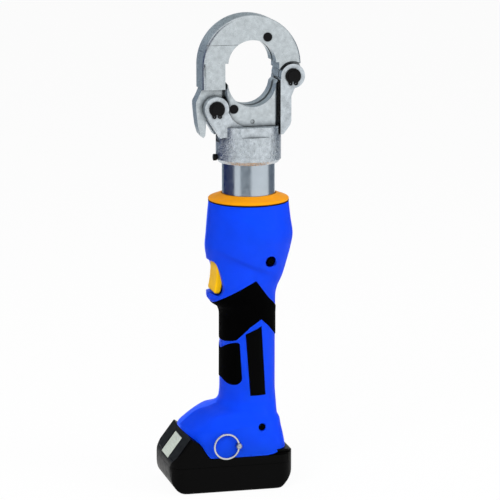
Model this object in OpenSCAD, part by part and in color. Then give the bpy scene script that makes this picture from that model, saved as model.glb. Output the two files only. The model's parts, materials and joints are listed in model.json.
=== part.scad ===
// Battery-powered hydraulic crimping tool, in millimetres.
// The ram cylinder's axis is Z, the floor is Z = 0, the trigger faces -X and +Y is the tool's right side.

/* [Battery] */
// Length of the battery pack
bat_l = 114; // [111:0.5:118]
// Room beside the battery cells inside the case
cell_room = 3; // [2.5:0.1:4]
// Height of the full-width sides of the pack
bat_side_h = 31.8; // [30:0.1:34]
// Rise of the sliding deck above the sides
deck_h = 4.5; // [4:0.1:6]
// Distance from the cylinder axis back to the rear face of the pack
bat_back = 33.5; // [32.5:0.5:36]
// Wall thickness of the battery case
bat_wall = 2; // [1.5:0.1:3]
// Height of the seam between battery case and battery cover
bat_seam = 24; // [22:0.5:27]
// Radius of a battery cell
cell_r = 9.1; // [8:0.1:9.4]
// Length of a battery cell
cell_l = 65; // [50:1:66]
// Number of battery cells
cell_count = 5; // [3:1:5]
// Width of the battery release button
button_w = 27; // [22:1:32]
// Height of the battery release button along the sloping face
button_h = 22; // [16:0.5:23]
// Thickness of the battery release button
button_t = 3.5; // [3:0.5:5]
// Travel of the battery release button
button_travel = 2.5; // [2:0.5:3]

/* [Handle] */
// Front reach of the foot from the cylinder axis
foot_front = 65; // [63.5:0.5:66]
// Rear reach of the foot from the cylinder axis
foot_back = 28; // [26.5:0.5:30]
// Height of the foot's shoulder
foot_z = 76; // [72:0.5:80]
// Front reach of the grip from the cylinder axis
grip_front = 28; // [27:0.25:31]
// Rear reach of the grip from the cylinder axis
grip_back = 25.4; // [24.5:0.1:28]
// Half width of the grip
grip_half = 26.4; // [25:0.1:29]
// Height of the grip's upper end above the motor can
grip_rise = 14; // [11:0.5:17]
// Front reach of the hook under the trigger
hook_front = 40.3; // [39:0.1:43]
// Largest radius of the barrel
barrel_r = 41.5; // [40:0.1:44]
// Height of the barrel's largest radius above the grip's upper end
barrel_rise = 71; // [68:0.5:74]
// Height of the seam under the collar ring above the grip's upper end
seam_rise = 100; // [98:0.5:104]
// Wall thickness of the handle shell
wall = 2.3; // [1.8:0.1:2.6]
// Thickness of the soft grip covers
pad_t = 0.9; // [0.6:0.1:1.4]

/* [Trigger] */
// Distance of the trigger pin in front of the cylinder axis
trigger_x = 29.5; // [29:0.25:31]
// Height of the trigger pin above the grip's upper end
trigger_rise = 44.5; // [43:0.5:46]
// Half width of the trigger
trigger_half = 13.7; // [11:0.1:15]
// Radius of the trigger pin
trigger_pin_r = 1.5; // [1.2:0.1:1.8]

/* [Collar ring] */
// Inset of the collar ring's seam from the barrel's largest radius
ring_inset = 3.1; // [1.5:0.1:4.5]
// Height of the collar ring above the seam
ring_h = 10.5; // [8:0.5:13]
// Radius of the collar ring's flat top
ring_top_r = 29; // [27:0.5:32]

/* [Cylinder and ram] */
// Outer radius of the ram cylinder
cyl_r = 24; // [23:0.1:25]
// Radius of the cylinder bore
bore_r = 16.5; // [15.5:0.1:17.5]
// Radius of the piston rod
rod_r = 11.5; // [10.5:0.1:12]
// Height of the piston head
piston_h = 16; // [12:0.5:20]
// Stroke of the ram
stroke = 16; // [12:0.5:17]

/* [Head] */
// Height of the head's lower edge above the seam under the collar ring
head_rise = 37; // [32:1:42]
// Radius of the head's collar
collar_r = 29.4; // [28.5:0.1:31]
// Height of the head's collar
collar_h = 25; // [23:0.5:27]
// Height of the fork floor above the head's lower edge
floor_rise = 33.7; // [32.5:0.1:35]
// Thickness of the fork
fork_t = 35; // [34:0.5:38]
// Half width of the slot in the fork
slot_half = 25.4; // [25.2:0.1:26]
// Thickness of the jaw, the latch and the die carrier
head_t = 30; // [28:0.5:31]
// Outer radius of the jaw's arch
arch_r = 45; // [44:0.5:47]
// Radius of the die seats
seat_r = 22; // [20:0.1:22.4]
// Height of the jaw's seat centre above the head's lower edge
jaw_seat_rise = 89; // [88:0.5:92]
// Height of the carrier's seat centre above the head's lower edge
carrier_seat_rise = 73; // [71:0.5:74]
// Distance of the hinge pin inside the jaw's arch
hinge_inset = 8.2; // [7:0.1:9]
// Height of the hinge pin above the head's lower edge
hinge_rise = 78; // [76:0.5:79]
// Distance of the latch pin inside the jaw's arch
latch_inset = 12; // [11:0.1:12.1]
// Height of the latch pin above the head's lower edge
latch_rise = 50.4; // [49:0.1:52]
// Radius of the hinge and latch pins
pin_r = 4.9; // [4.4:0.1:5.4]
// Radius of the fork's ears round the pins
ear_r = 11; // [10.5:0.1:11.5]
// Half gap between the fork's ears
ear_gap = 8; // [7:0.1:9]
// Radius of the die release buttons
die_button_r = 4; // [3:0.1:4.5]
// Rounding of the jaw's rim
rim_round = 3.2; // [2:0.1:4]

/* [Motor and gears] */
// Height of the motor can's lower edge above the floor
motor_z = 94; // [92:0.5:96]
// Outer radius of the motor can
motor_r = 19.5; // [18:0.1:20.5]
// Height of the motor can
motor_h = 52; // [50:0.5:54]
// Radius of the rotor
rotor_r = 13; // [11:0.1:14]
// Radius of the motor shaft
shaft_r = 2.5; // [2.2:0.1:2.8]
// Gear module
gear_m = 0.65; // [0.6:0.01:0.67]
// Face width of the gears
gear_h = 10; // [8:0.5:11]
// Radius of a planet pin
planet_pin_r = 1.5; // [1.2:0.1:1.8]

/* [Pump] */
// Throw of the eccentric
throw = 2; // [1.5:0.1:2.2]
// Radius of the eccentric shaft
crank_r = 5; // [4.5:0.1:5.5]
// Outer radius of the eccentric's bearing
crank_bearing_r = 8; // [7.5:0.1:8.3]
// Radius of the pump plunger
plunger_r = 3; // [2.5:0.1:3.5]
// Outer radius of the pump block
pump_r = 29.5; // [29:0.1:31]
// Height of the pump block's upper disc
pump_h = 18; // [16:0.5:19]
// Outer radius of the crank case
case_r = 15.5; // [15:0.1:16]

/* [Carry ring] */
// Mean radius of the carry ring
carry_r = 11.3; // [10:0.1:13]
// Radius of the carry ring's wire
carry_wire = 0.95; // [0.8:0.05:1.1]
// Distance of the ring's eye in front of the cylinder axis
eye_x = 18.4; // [14:0.1:20]
// Height of the ring's eye above the floor
eye_z = 43; // [42.8:0.1:50]

/* [Clearances] */
// Radial running clearance of shafts, pins and rods
run = 0.05; // [0.03:0.01:0.08]
// Clearance between faces that move past each other
gap = 0.3; // [0.2:0.05:0.4]
// Clearance round the sliding battery pack
slide_gap = 0.4; // [0.3:0.05:0.5]

/* [Hidden] */
$fn = 64;
tiny = 0.01;

// Battery levels and places
bat_front = bat_back - bat_l;
bat_half = cell_l / 2 + bat_wall + cell_room;
deck_half = bat_half - 2.3;
deck_z = bat_side_h + deck_h;
skirt_z = bat_side_h + slide_gap;
floor_z = deck_z + slide_gap;
floor_t = 2.5;
groove_h = 2.2;
groove_z = deck_z - 3.4;
cell_z = bat_wall + cell_r + gap;
cell_pitch = 2 * cell_r + 0.8;

// Handle levels
foot_half = bat_half + 0.3;
motor_top = motor_z + motor_h;
grip_top = motor_top + grip_rise;
trigger_z = grip_top + trigger_rise;
barrel_z = grip_top + barrel_rise;
seam_z = grip_top + seam_rise;
head_z = seam_z + head_rise;
ring_r = barrel_r - ring_inset;
hinge_x = arch_r - hinge_inset;
latch_x = arch_r - latch_inset;
chin_tip = -foot_front + 21.5;
inner_step = 0.85;
loft_sides = 36;
loft_steps = 2;
hollow_sides = 20;

// Head levels
collar_top = head_z + collar_h;
fork_floor = head_z + floor_rise;
jaw_seat_z = head_z + jaw_seat_rise;
arch_z = jaw_seat_z - 1;
carrier_seat_z = head_z + carrier_seat_rise;
hinge_z = head_z + hinge_rise;
latch_z = head_z + latch_rise;
tongue_half = ear_gap - 0.25;
fork_half = fork_t / 2;
head_half = head_t / 2;
carrier_half = slot_half - 1.2;
carrier_z = fork_floor + gap;
recess_x = slot_half - 0.7;
cheek_in = head_half - 5;
seam_top = jaw_seat_z + 18;
lip_z = jaw_seat_z + 11.4;
hook_z = jaw_seat_z - 6;
lip_low = carrier_seat_z + 1.3 + stroke + gap;
latch_low = jaw_seat_z - 21.5;
latch_boss_r = ear_r - 2.5;
spigot_r = 8;
spigot_h = 8;

// Drive levels from the motor up to the cylinder
cap_h = 6;
gear_z = motor_top + 3.6;
ring_gear_r = 21.5;
ring_gear_h = 26;
case_z = motor_top + ring_gear_h;
carrier_plate_z = gear_z + gear_h + 1.4;
plate_h = 4;
plunger_z = case_z + 16;
waist_z = case_z + 27;
pump_z = waist_z + 15;
pump_top = pump_z + pump_h;
flange_h = 8;
cyl_top = collar_top - gap;
guide_h = 14;
guide_z = cyl_top - guide_h - 2;
piston_z = pump_top + 6;
spigot_top = carrier_z + spigot_h;

// Gear counts and centres
sun_teeth = 12;
planet_teeth = 21;
ring_teeth = sun_teeth + 2 * planet_teeth;
planet_d = gear_m * (sun_teeth + planet_teeth) / 2;

// Screw places on the handle: distance from the axis, height, recess radius
screws = [[12.6, trigger_z + 5.7, 4.9], [4.2, foot_z - 18, 3.5]];
screw_r = 1.5;
recess_depth = 3.2;
boss_r = 4;

// Helpers
module slab(y0, y1) {
    translate([0, y1, 0]) rotate([90, 0, 0]) linear_extrude(y1 - y0) children();
}

module cyl_y(r, y0, y1, x, z) {
    translate([x, y0, z]) rotate([-90, 0, 0]) cylinder(r = r, h = y1 - y0);
}

module cyl_x(r, x0, x1, y, z) {
    translate([x0, y, z]) rotate([0, 90, 0]) cylinder(r = r, h = x1 - x0);
}

module tube_z(r_out, r_in, z0, z1) {
    translate([0, 0, z0]) difference() {
        cylinder(r = r_out, h = z1 - z0);
        translate([0, 0, -1]) cylinder(r = r_in, h = z1 - z0 + 2);
    }
}

module rounded_rect(x0, x1, y_half, r) {
    translate([x0 + r, -y_half]) square([x1 - x0 - 2 * r, 2 * y_half]);
    translate([x0, -y_half + r]) square([x1 - x0, 2 * y_half - 2 * r]);
    for (x = [x0 + r, x1 - r], y = [-y_half + r, y_half - r]) translate([x, y]) circle(r = r);
}

function arc(cx, cy, r, a0, a1, n = 8) =
    [for (i = [0:n]) let (a = a0 + (a1 - a0) * i / n) [cx + r * cos(a), cy + r * sin(a)]];

// A closed polyhedron from rings of equal length, with flat ends
module rings_solid(rings) {
    n = len(rings[0]);
    last = len(rings) - 1;
    points = [for (ring = rings) for (p = ring) p];
    sides = [for (k = [0:last - 1]) for (i = [0:n - 1]) let (j = (i + 1) % n)
        each [[k * n + i, (k + 1) * n + i, (k + 1) * n + j], [k * n + i, (k + 1) * n + j, k * n + j]]];
    ends = [for (i = [1:n - 2]) each [[0, i, i + 1], [last * n, last * n + i + 1, last * n + i]]];
    polyhedron(points = points, faces = concat(sides, ends));
}

// A coiled spring along Z, with its ends cut square to the wire
module coil(r, wire_r, length, turns) {
    steps = 8 * turns;
    sides = 6;
    lift = length - 2 * wire_r;
    rings_solid([for (k = [0:steps]) let (a = 360 * k / 8, z = wire_r + lift * k / steps)
        [for (s = [0:sides - 1]) let (b = -360 * s / sides, q = r + wire_r * cos(b))
            [q * cos(a), q * sin(a), z + wire_r * sin(b)]]]);
}

// Monotone cubic through the handle's stations
function slope(t, k, c) = (t[k + 1][c] - t[k][c]) / (t[k + 1][0] - t[k][0]);
function bend(t, k, c) =
    k == 0 ? slope(t, 0, c) :
    k == len(t) - 1 ? slope(t, k - 1, c) :
    let (a = slope(t, k - 1, c), b = slope(t, k, c)) a * b <= 0 ? 0 : 2 * a * b / (a + b);
function span_at(t, z, k = 0) = (k >= len(t) - 2 || z < t[k + 1][0]) ? k : span_at(t, z, k + 1);
function hermite(t, z, c) =
    let (k = span_at(t, z), h = t[k + 1][0] - t[k][0], u = min(max((z - t[k][0]) / h, 0), 1))
    (1 + 2 * u) * (1 - u) * (1 - u) * t[k][c] + u * (1 - u) * (1 - u) * h * bend(t, k, c)
    + u * u * (3 - 2 * u) * t[k + 1][c] + u * u * (u - 1) * h * bend(t, k + 1, c);

// Handle stations: height, front reach, rear reach, half width, squareness
stations = [
    [skirt_z, foot_front - 5.5, foot_back + 2, foot_half, 3.2],
    [skirt_z + 13, foot_front - 1.5, foot_back + 0.6, foot_half - 0.3, 3.1],
    [foot_z - 18, foot_front, foot_back - 0.8, foot_half - 1, 3],
    [foot_z - 11, foot_front - 4, foot_back - 1.4, foot_half - 1.8, 2.9],
    [foot_z - 6, foot_front - 8.5, grip_back + 0.9, foot_half - 3.3, 2.7],
    [foot_z - 2, foot_front - 16, grip_back + 0.8, foot_half - 5.5, 2.5],
    [foot_z + 1, grip_front + 8.5, grip_back + 0.7, grip_half + 3.8, 2.4],
    [foot_z + 4, grip_front + 3.2, grip_back + 0.7, grip_half + 2.2, 2.3],
    [foot_z + 9, grip_front + 0.8, grip_back + 0.5, grip_half + 0.8, 2.15],
    [foot_z + 19, grip_front, grip_back, grip_half, 2.1],
    [grip_top - 3, grip_front - 0.3, grip_back, grip_half, 2.1],
    [grip_top + 4, grip_front + 1.6, grip_back + 0.3, grip_half + 0.2, 2.1],
    [grip_top + 9, (grip_front + hook_front) / 2 + 2, grip_back + 0.4, grip_half + 0.6, 2.1],
    [grip_top + 15, hook_front, grip_back + 0.6, grip_half + 1, 2.1],
    [grip_top + 22, hook_front, grip_back + 2, grip_half + 2.4, 2.1],
    [grip_top + 32, hook_front - 0.2, grip_back + 6.4, grip_half + 5.4, 2.1],
    [trigger_z + 2, hook_front - 0.4, barrel_r - 5.2, barrel_r - 5.6, 2.05],
    [trigger_z + 15.5, barrel_r - 0.4, barrel_r - 1.6, barrel_r - 2.2, 2],
    [barrel_z, barrel_r - 0.2, barrel_r + 0.2, barrel_r - 0.9, 2],
    [barrel_z + 14, barrel_r - 1.2, barrel_r - 1, barrel_r - 1.7, 2],
    [seam_z, ring_r, ring_r, ring_r, 2]
];

function loft_levels() = [for (k = [0:len(stations) - 2]) for (i = [0:loft_steps - 1])
    stations[k][0] + (stations[k + 1][0] - stations[k][0]) * i / loft_steps];
function reach(z, c) = hermite(stations, min(max(z, skirt_z), seam_z), c);
function least(z, c, w) = min(reach(z - w, c), reach(z, c), reach(z + w, c)) - w * inner_step;
function power(v, e) = sign(v) * pow(abs(v), e);
function section(front, back, half, square_n, a) =
    [(back - front) / 2 + (front + back) / 2 * power(cos(a), 2 / square_n),
        half * power(sin(a), 2 / square_n)];
function skin(z, a, out) =
    concat(section(reach(z, 1) + out, reach(z, 2) + out, reach(z, 3) + out, reach(z, 4), a), z);
function lining(z, a, w) =
    concat(section(least(z, 1, w), least(z, 2, w), least(z, 3, w), reach(z, 4), a), z);

module handle_solid() {
    rings_solid([for (z = concat(loft_levels(), seam_z))
        [for (i = [0:loft_sides - 1]) skin(z, 360 * i / loft_sides, 0)]]);
}

module handle_hollow() {
    rings_solid([for (z = concat(skirt_z - 5, [for (s = stations) s[0]], seam_z + 5))
        [for (i = [0:hollow_sides - 1]) lining(z, 360 * i / hollow_sides, wall)]]);
}

// Side outline under the foot's chin, where the battery hump meets the handle, moved in by a distance
function chin(d) = [
    [-foot_front - 16.5, floor_z + 22.5 + d], [-foot_front - 2.5, floor_z + 18 + d],
    [-foot_front + 6, floor_z + 13.3 + d], [-foot_front + 12.5 + d / 2, floor_z + 7.8 + d],
    [-foot_front + 17 + d, floor_z + 0.5], [-foot_front + 19.5 + d, floor_z - 3.1],
    [chin_tip + d, skirt_z - 0.1]
];

module chin_cut(d) {
    slab(-60, 60)
        polygon(concat(chin(d), [[chin_tip + d, -5], [-foot_front - 30, -5], [-foot_front - 30, 80]]));
}

module deck_cut(d) {
    translate([-foot_front + 10, -deck_half - slide_gap, -5])
        cube([foot_front + 60, 2 * (deck_half + slide_gap), floor_z + d + 5]);
}

// Side outline of the trigger window, moved in by a distance
function notch(d) = [
    [-60, trigger_z + 4.3 + d], [-trigger_x - 5.3 + d, trigger_z + 4.3 + d],
    [-trigger_x - 2.2 + d, trigger_z - 2.5], [-trigger_x + 0.7 + d, trigger_z - 13.1],
    [-trigger_x + 1.8 + d, trigger_z - 20.5], [-trigger_x + 1 + d, trigger_z - 24.5 - d / 2],
    [-trigger_x - 3, trigger_z - 27.1 - d], [-trigger_x - 9.8, trigger_z - 24.8 - d],
    [-60, trigger_z - 22 - d]
];

module trigger_slot() {
    half = trigger_half + gap + 0.2;
    slab(-half, half) polygon([
        [-trigger_x - 16, trigger_z + 4.2], [-trigger_x + 6, trigger_z + 4.2],
        [-trigger_x + 8, trigger_z - 8],
        [-trigger_x + 8, trigger_z - 24.5], [-trigger_x + 4.5, trigger_z - 27.2],
        [-trigger_x - 3, trigger_z - 27.4], [-trigger_x - 16, trigger_z - 23.4]
    ]);
}

// Ribs that hold the motor, deep enough to root in the shell's wall
module motor_ribs() {
    for (a = [60, 120, 240, 300]) rotate([0, 0, a])
        translate([motor_r + 0.1, -1, motor_z + 4]) cube([grip_half - motor_r - 1.2, 2, motor_h - 10]);
}

// Half width of the handle's skin at a height and a distance along X
function skin_half(z, x) =
    let (mid = (reach(z, 2) - reach(z, 1)) / 2, long = (reach(z, 2) + reach(z, 1)) / 2, n = reach(z, 4))
    reach(z, 3) * pow(1 - pow(abs(x - mid) / long, n), 1 / n);
function screw_seat(s) = skin_half(s[1], s[0]) - recess_depth;

module screw_boss(s) {
    y = skin_half(s[1] - boss_r, s[0] + boss_r) - 1;
    hull() {
        cyl_y(boss_r, -y, y, s[0], s[1]);
        cyl_y(boss_r + 0.2, -8, 8, s[0], s[1]);
    }
    for (dz = [-1, 1]) hull() {
        cyl_y(0.7, -y, y, s[0], s[1] + 3 * dz);
        cyl_y(0.7, -y, y, s[0] + 3, s[1] + 3 * dz);
    }
}

module screw_hole(s) {
    cyl_y(screw_r + run, -60, 60, s[0], s[1]);
    cyl_y(s[2], -60, -screw_seat(s), s[0], s[1]);
}

module trigger_ear(side) {
    y = side * (trigger_half + gap + 1.7);
    hull() {
        translate([-trigger_x, y, trigger_z]) rotate([90, 0, 0]) cylinder(r = 3.4, h = 2.4, center = true);
        translate([-trigger_x - 1.2, y, trigger_z + 6]) cube([8, 2.4, 3], center = true);
    }
}

// The skirt's lower edge rises towards the rear of the foot
skirt_rise_x = 9;

module skirt_rise() {
    slab(-60, 60) polygon([[skirt_rise_x, skirt_z - 5], [skirt_rise_x, skirt_z - 0.4],
        [skirt_rise_x + 6, skirt_z + 0.9], [skirt_rise_x + 13.5, skirt_z + 2.6],
        [skirt_rise_x + 25, skirt_z + 3.8], [60, skirt_z + 3.8], [60, skirt_z - 5]]);
}

module battery_rail(side) {
    y = side * (deck_half + slide_gap);
    hull() for (x = [-26, skirt_rise_x - 2]) translate([x, y, groove_z + groove_h / 2]) rotate([90, 0, 0])
        cylinder(r = groove_h / 2 - slide_gap, h = 3.4, center = true);
}

// One half of the handle shell, side -1 for the left half
module housing_half(side) {
    $fn = 20;
    difference() {
        union() {
            difference() {
                handle_solid();
                difference() {
                    handle_hollow();
                    chin_cut(floor_t);
                    deck_cut(floor_t);
                    slab(-60, 60) polygon(notch(wall));
                }
                chin_cut(0);
                deck_cut(0);
                slab(-60, 60) polygon(notch(0));
                trigger_slot();
                skirt_rise();
            }
            difference() {
                for (s = screws) screw_boss(s);
                translate([0, 0, pump_z]) cylinder(r = pump_r + gap, h = 60);
            }
            motor_ribs();
            trigger_ear(side);
            battery_rail(side);
        }
        for (s = screws) screw_hole(s);
        cyl_y(trigger_pin_r + 0.12, -60, 60, -trigger_x, trigger_z);
        cyl_x(status_r + 0.1, 10, 60, 0, status_z);
        translate([-20, -trigger_half + 5, floor_z - 5]) cube([30, 2 * trigger_half - 10, 10]);
        cyl_y(stud_r + run, -60, -20, -eye_x, eye_z);
        cyl_y(ball_r + 0.1, -60, ring_y + ball_r + 0.1, -eye_x, eye_z);
        translate([-150, side < 0 ? 0 : -150, -10]) cube([300, 150, 400]);
    }
}

module housing_left() {
    color([0.1, 0.33, 0.95]) housing_half(-1);
}

module housing_right() {
    color([0.1, 0.33, 0.95]) housing_half(1);
}

// A thin cover that follows the handle: levels low and high are given for each angle, which falls
module skin_patch(angles, low, high, rows, in, out) {
    last = len(angles) - 1;
    function level(i, k) = low[i] + (high[i] - low[i]) * k / rows;
    function id(i, k, layer) = (i * (rows + 1) + k) * 2 + layer;
    function quad(a, b, c, d) = [[a, b, c], [a, c, d]];
    points = [for (i = [0:last], k = [0:rows], layer = [in, out]) skin(level(i, k), angles[i], layer)];
    sheets = [for (i = [0:last - 1], k = [0:rows - 1]) each concat(
        quad(id(i, k, 1), id(i + 1, k, 1), id(i + 1, k + 1, 1), id(i, k + 1, 1)),
        quad(id(i, k, 0), id(i, k + 1, 0), id(i + 1, k + 1, 0), id(i + 1, k, 0)))];
    rims = [for (i = [0:last - 1]) each concat(
        quad(id(i, 0, 0), id(i + 1, 0, 0), id(i + 1, 0, 1), id(i, 0, 1)),
        quad(id(i, rows, 0), id(i, rows, 1), id(i + 1, rows, 1), id(i + 1, rows, 0)))];
    ends = [for (k = [0:rows - 1]) each concat(
        quad(id(0, k, 0), id(0, k, 1), id(0, k + 1, 1), id(0, k + 1, 0)),
        quad(id(last, k, 0), id(last, k + 1, 0), id(last, k + 1, 1), id(last, k, 1)))];
    polyhedron(points = points, faces = concat(sheets, rims, ends));
}

function patch_x(a) = section(grip_front, grip_back, grip_half, 2.1, a)[0];

// Edges of the grip band: distance along X and height
band_top = [
    [-40, grip_top + 5], [-31.5, grip_top + 7], [-10, grip_top + 23], [0.4, grip_top + 31],
    [9, grip_top + 23], [26, grip_top + 3]
];
band_low = [
    [-40, grip_top - 26], [-28, grip_top - 26], [-18, grip_top - 23.5], [-5, grip_top - 10],
    [6, grip_top - 3], [14, grip_top - 10], [26, grip_top - 24]
];
skin_in = 0.2;

module grip_band(side) {
    steps = 36;
    order = side < 0 ? [0:1:steps] : [steps:-1:0];
    angles = [for (i = order) side * (2 + 176 * i / steps)];
    skin_patch(angles, [for (a = angles) lookup(patch_x(a), band_low)],
        [for (a = angles) lookup(patch_x(a), band_top)], 16, skin_in, pad_t);
}

// Finger pad at the front of the grip
module finger_pad(side) {
    steps = 12;
    angles = [for (i = [0:steps]) side * (118 + 60 * i / steps)];
    order = side < 0 ? [0:1:steps] : [steps:-1:0];
    bulge = [for (i = order) 4 * sin(180 * min(1, 0.15 + i / steps))];
    skin_patch([for (i = order) angles[i]],
        [for (i = [0:steps]) grip_top - 62 - bulge[i]],
        [for (i = [0:steps]) grip_top - 35 + bulge[i]], 6, skin_in, pad_t);
}

module soft_grip(side) {
    grip_band(side);
    finger_pad(side);
}

module soft_grip_left() {
    color([0.06, 0.06, 0.07]) soft_grip(-1);
}

module soft_grip_right() {
    color([0.06, 0.06, 0.07]) soft_grip(1);
}

// Bare name plate on the grip's left side
module label_plate() {
    steps = 8;
    color([0.08, 0.08, 0.09])
        skin_patch([for (i = [0:steps]) -70 - 34 * i / steps],
            [for (i = [0:steps]) grip_top - 74.5],
            [for (i = [0:steps]) grip_top - 10.5 - 7 * i / steps], 6, skin_in, 0.5);
}

module housing_screws() {
    color("dimgray") for (s = screws) {
        head_y = -screw_seat(s);
        difference() {
            cyl_y(2.7, head_y - 2, head_y - tiny, s[0], s[1]);
            translate([s[0], head_y - 2, s[1]]) rotate([90, 0, 0])
                cylinder(r = 1.3, h = 2.6, center = true, $fn = 6);
        }
        cyl_y(screw_r, head_y - 1, screw_seat(s) - 3, s[0], s[1]);
    }
}

// Status light in the rear of the foot
status_r = 2.4;
status_z = floor_z + 6;
status_x = foot_back + 1;

module status_light() {
    color([0.1, 0.12, 0.3]) {
        cyl_x(status_r, status_x - 5, status_x + 0.6, 0, status_z);
        translate([status_x + 0.6, 0, status_z]) rotate([0, 90, 0])
            cylinder(r1 = status_r, r2 = status_r - 0.9, h = 0.8);
    }
}

// Carry ring and the stud with its eye
stud_r = 1.9;
eye_r = carry_wire + 0.5;
ball_r = 3;
ring_y = -(foot_half + carry_wire + 0.4);

module carry_ring() {
    color("silver") translate([-eye_x - carry_r, ring_y, eye_z]) rotate([90, 0, 0])
        rotate_extrude() translate([carry_r, 0]) circle(r = carry_wire);
}

module ring_stud() {
    color("gray") difference() {
        union() {
            translate([-eye_x, ring_y, eye_z]) sphere(r = ball_r);
            cyl_y(stud_r, ring_y + 1, -foot_half + wall + 2, -eye_x, eye_z);
        }
        translate([-eye_x, ring_y, eye_z - 5]) cylinder(r = eye_r, h = 10);
    }
}

// Battery pack
corner_r = 13;
rear_cut_x = 11;
rear_cut_z = 14.5;

module battery_plan(half, r, z0, z1, grow) {
    translate([0, 0, z0]) linear_extrude(z1 - z0)
        rounded_rect(bat_front - grow, bat_back + grow, half + grow, r + grow);
}

// The pack's solid, with every face moved in by a distance
module pack_solid(d) {
    intersection() {
        battery_plan(bat_half, corner_r, -1, 120, -d);
        slab(-60, 60) polygon([
            [bat_front + 10.5 + d, d], [bat_back - rear_cut_x - 0.6 * d, d],
            [bat_back - d, rear_cut_z + 0.4 * d],
            [bat_back - d, deck_z - 2], [bat_back - 2 - d, deck_z - d], [chin_tip, deck_z - d],
            each [for (i = [5:-1:2]) chin(-slide_gap - d)[i] - [slide_gap, 0]],
            slope_high + d * slope_in, slope_low + d * slope_in, [bat_front + d, slope_low[1] - 2],
            [bat_front + d, 17], [bat_front + 1.8 + d, 9], [bat_front + 5 + d, 3.5]
        ]);
    }
}

// Cuts beside the sliding deck, with the grooves for the handle's rails
module deck_shoulders() {
    for (side = [-1, 1]) {
        translate([chin_tip - slide_gap, side < 0 ? -60 : deck_half, bat_side_h])
            cube([150, 60 - deck_half, 40]);
        translate([chin_tip - slide_gap, side > 0 ? deck_half - 2.4 : -60, groove_z])
            cube([150, 60 - deck_half + 2.4, groove_h]);
    }
}

module battery_case() {
    color([0.07, 0.07, 0.08]) difference() {
        intersection() {
            pack_solid(0);
            translate([-200, -100, -1]) cube([400, 200, bat_seam + 1]);
        }
        difference() {
            pack_solid(bat_wall);
            translate([bat_front - 5, -60, bat_seam + 5]) cube([200, 120, 60]);
        }
    }
}

module battery_cover() {
    color([0.07, 0.07, 0.08]) difference() {
        intersection() {
            pack_solid(0);
            translate([-200, -100, bat_seam]) cube([400, 200, 100]);
        }
        intersection() {
            battery_plan(deck_half - bat_wall - 1, 8, bat_seam - 1, deck_z - bat_wall, -bat_wall);
            translate([chin_tip + 2, -60, 0]) cube([120, 120, 100]);
        }
        deck_shoulders();
        for (y = blade_ys) translate([blade_x - 6, y - 1.4, deck_z - 6]) cube([100, 2.8, 10]);
        button_place() translate([-button_h / 2 - 0.2, -button_w / 2 - 0.2, -button_t - button_travel - gap])
            cube([button_h + 0.4, button_w + 0.4, 30]);
        button_place() translate([0, 0, -spring_seat]) cylinder(r = 3.2, h = spring_seat);
    }
}

// The release button's frame: its origin on the sloping face, Z out of the face
slope_low = [bat_front + 0.4, bat_seam + 4];
slope_high = [bat_front + 18, floor_z + 14.5];
slope_angle = atan2(slope_high[1] - slope_low[1], slope_high[0] - slope_low[0]);
slope_in = [sin(slope_angle), -cos(slope_angle)];
spring_seat = button_t + button_travel + 7;
button_at = button_h / 2 + 1.6;

module button_place() {
    translate([slope_low[0] + button_at * cos(slope_angle), 0, slope_low[1] + button_at * sin(slope_angle)])
        rotate([0, -slope_angle, 0]) children();
}

module battery_button() {
    color([0.7, 0.73, 0.7]) button_place() {
        translate([-button_h / 2, -button_w / 2, -button_t]) cube([button_h, button_w, button_t - 0.5]);
        for (i = [-2:2]) translate([i * button_h / 6 - 0.6, -button_w / 2 + 3, -1])
            cube([1.2, button_w - 6, 1]);
    }
}

module battery_button_spring() {
    color("silver") button_place() translate([0, 0, -spring_seat + 0.1])
        coil(2.2, 0.35, button_travel + 6.7, 5);
}

module battery_cells() {
    color([0.15, 0.5, 0.3]) for (i = [0:cell_count - 1])
        cyl_y(cell_r, -cell_l / 2, cell_l / 2, bat_back - bat_wall - cell_r - 6 - i * cell_pitch, cell_z);
}

// Terminals between the pack and the handle
blade_x = -14;
blade_l = 9;
blade_ys = [-6, 0, 6];

module battery_contacts() {
    color("goldenrod") for (y = blade_ys, side = [-1, 1])
        translate([blade_x - 2, side > 0 ? y + 0.5 : y - 1.2, 2 * cell_z + 0.5])
            cube([6, 0.7, deck_z - 2 * cell_z - 1.5]);
}

module terminal_blades() {
    color("goldenrod") for (y = blade_ys)
        translate([blade_x - 3, y - 0.4, deck_z - 4.5])
            cube([blade_l, 0.8, floor_z + floor_t + 3 - deck_z + 4.5]);
}

module terminal_block() {
    color([0.2, 0.2, 0.22]) difference() {
        union() {
            translate([-20, -9, floor_z + floor_t]) cube([18, 18, 9]);
            translate([-19.5, -trigger_half + 5.3, floor_z])
                cube([17, 2 * trigger_half - 10.6, floor_t + 1]);
        }
        for (y = blade_ys) translate([blade_x - 3 - run, y - 0.4 - run, floor_z - 1])
            cube([blade_l + 2 * run, 0.8 + 2 * run, floor_t + 4 + run]);
    }
}

board_z = floor_z + floor_t + 9;

module control_board() {
    color([0.1, 0.4, 0.2]) translate([-52, -22, board_z]) cube([50, 44, 1.6]);
    color([0.2, 0.2, 0.22]) for (i = [0:2])
        translate([-46 + 13 * i, -14, board_z + 1.6]) cube([9, 10, 5]);
    color("silver") for (i = [0:1]) translate([-40 + 16 * i, 9, board_z + 1.6]) cylinder(r = 4.5, h = 10);
}

module motor_leads() {
    color([0.7, 0.1, 0.1]) for (y = [-8, 8])
        translate([-9, y, board_z + 1.6]) cylinder(r = 1.1, h = motor_z - cap_h - board_z - 1.6);
}

// Motor
can_wall = 1.5;
bearing_r = 6.5;

module motor_end_cap() {
    color([0.25, 0.25, 0.27]) difference() {
        union() {
            translate([0, 0, motor_z - cap_h]) cylinder(r = motor_r, h = cap_h);
            translate([0, 0, motor_z - tiny]) cylinder(r = motor_r - can_wall - run, h = 2);
        }
        translate([0, 0, motor_z - cap_h + 2]) cylinder(r = bearing_r, h = 20);
    }
}

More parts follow.
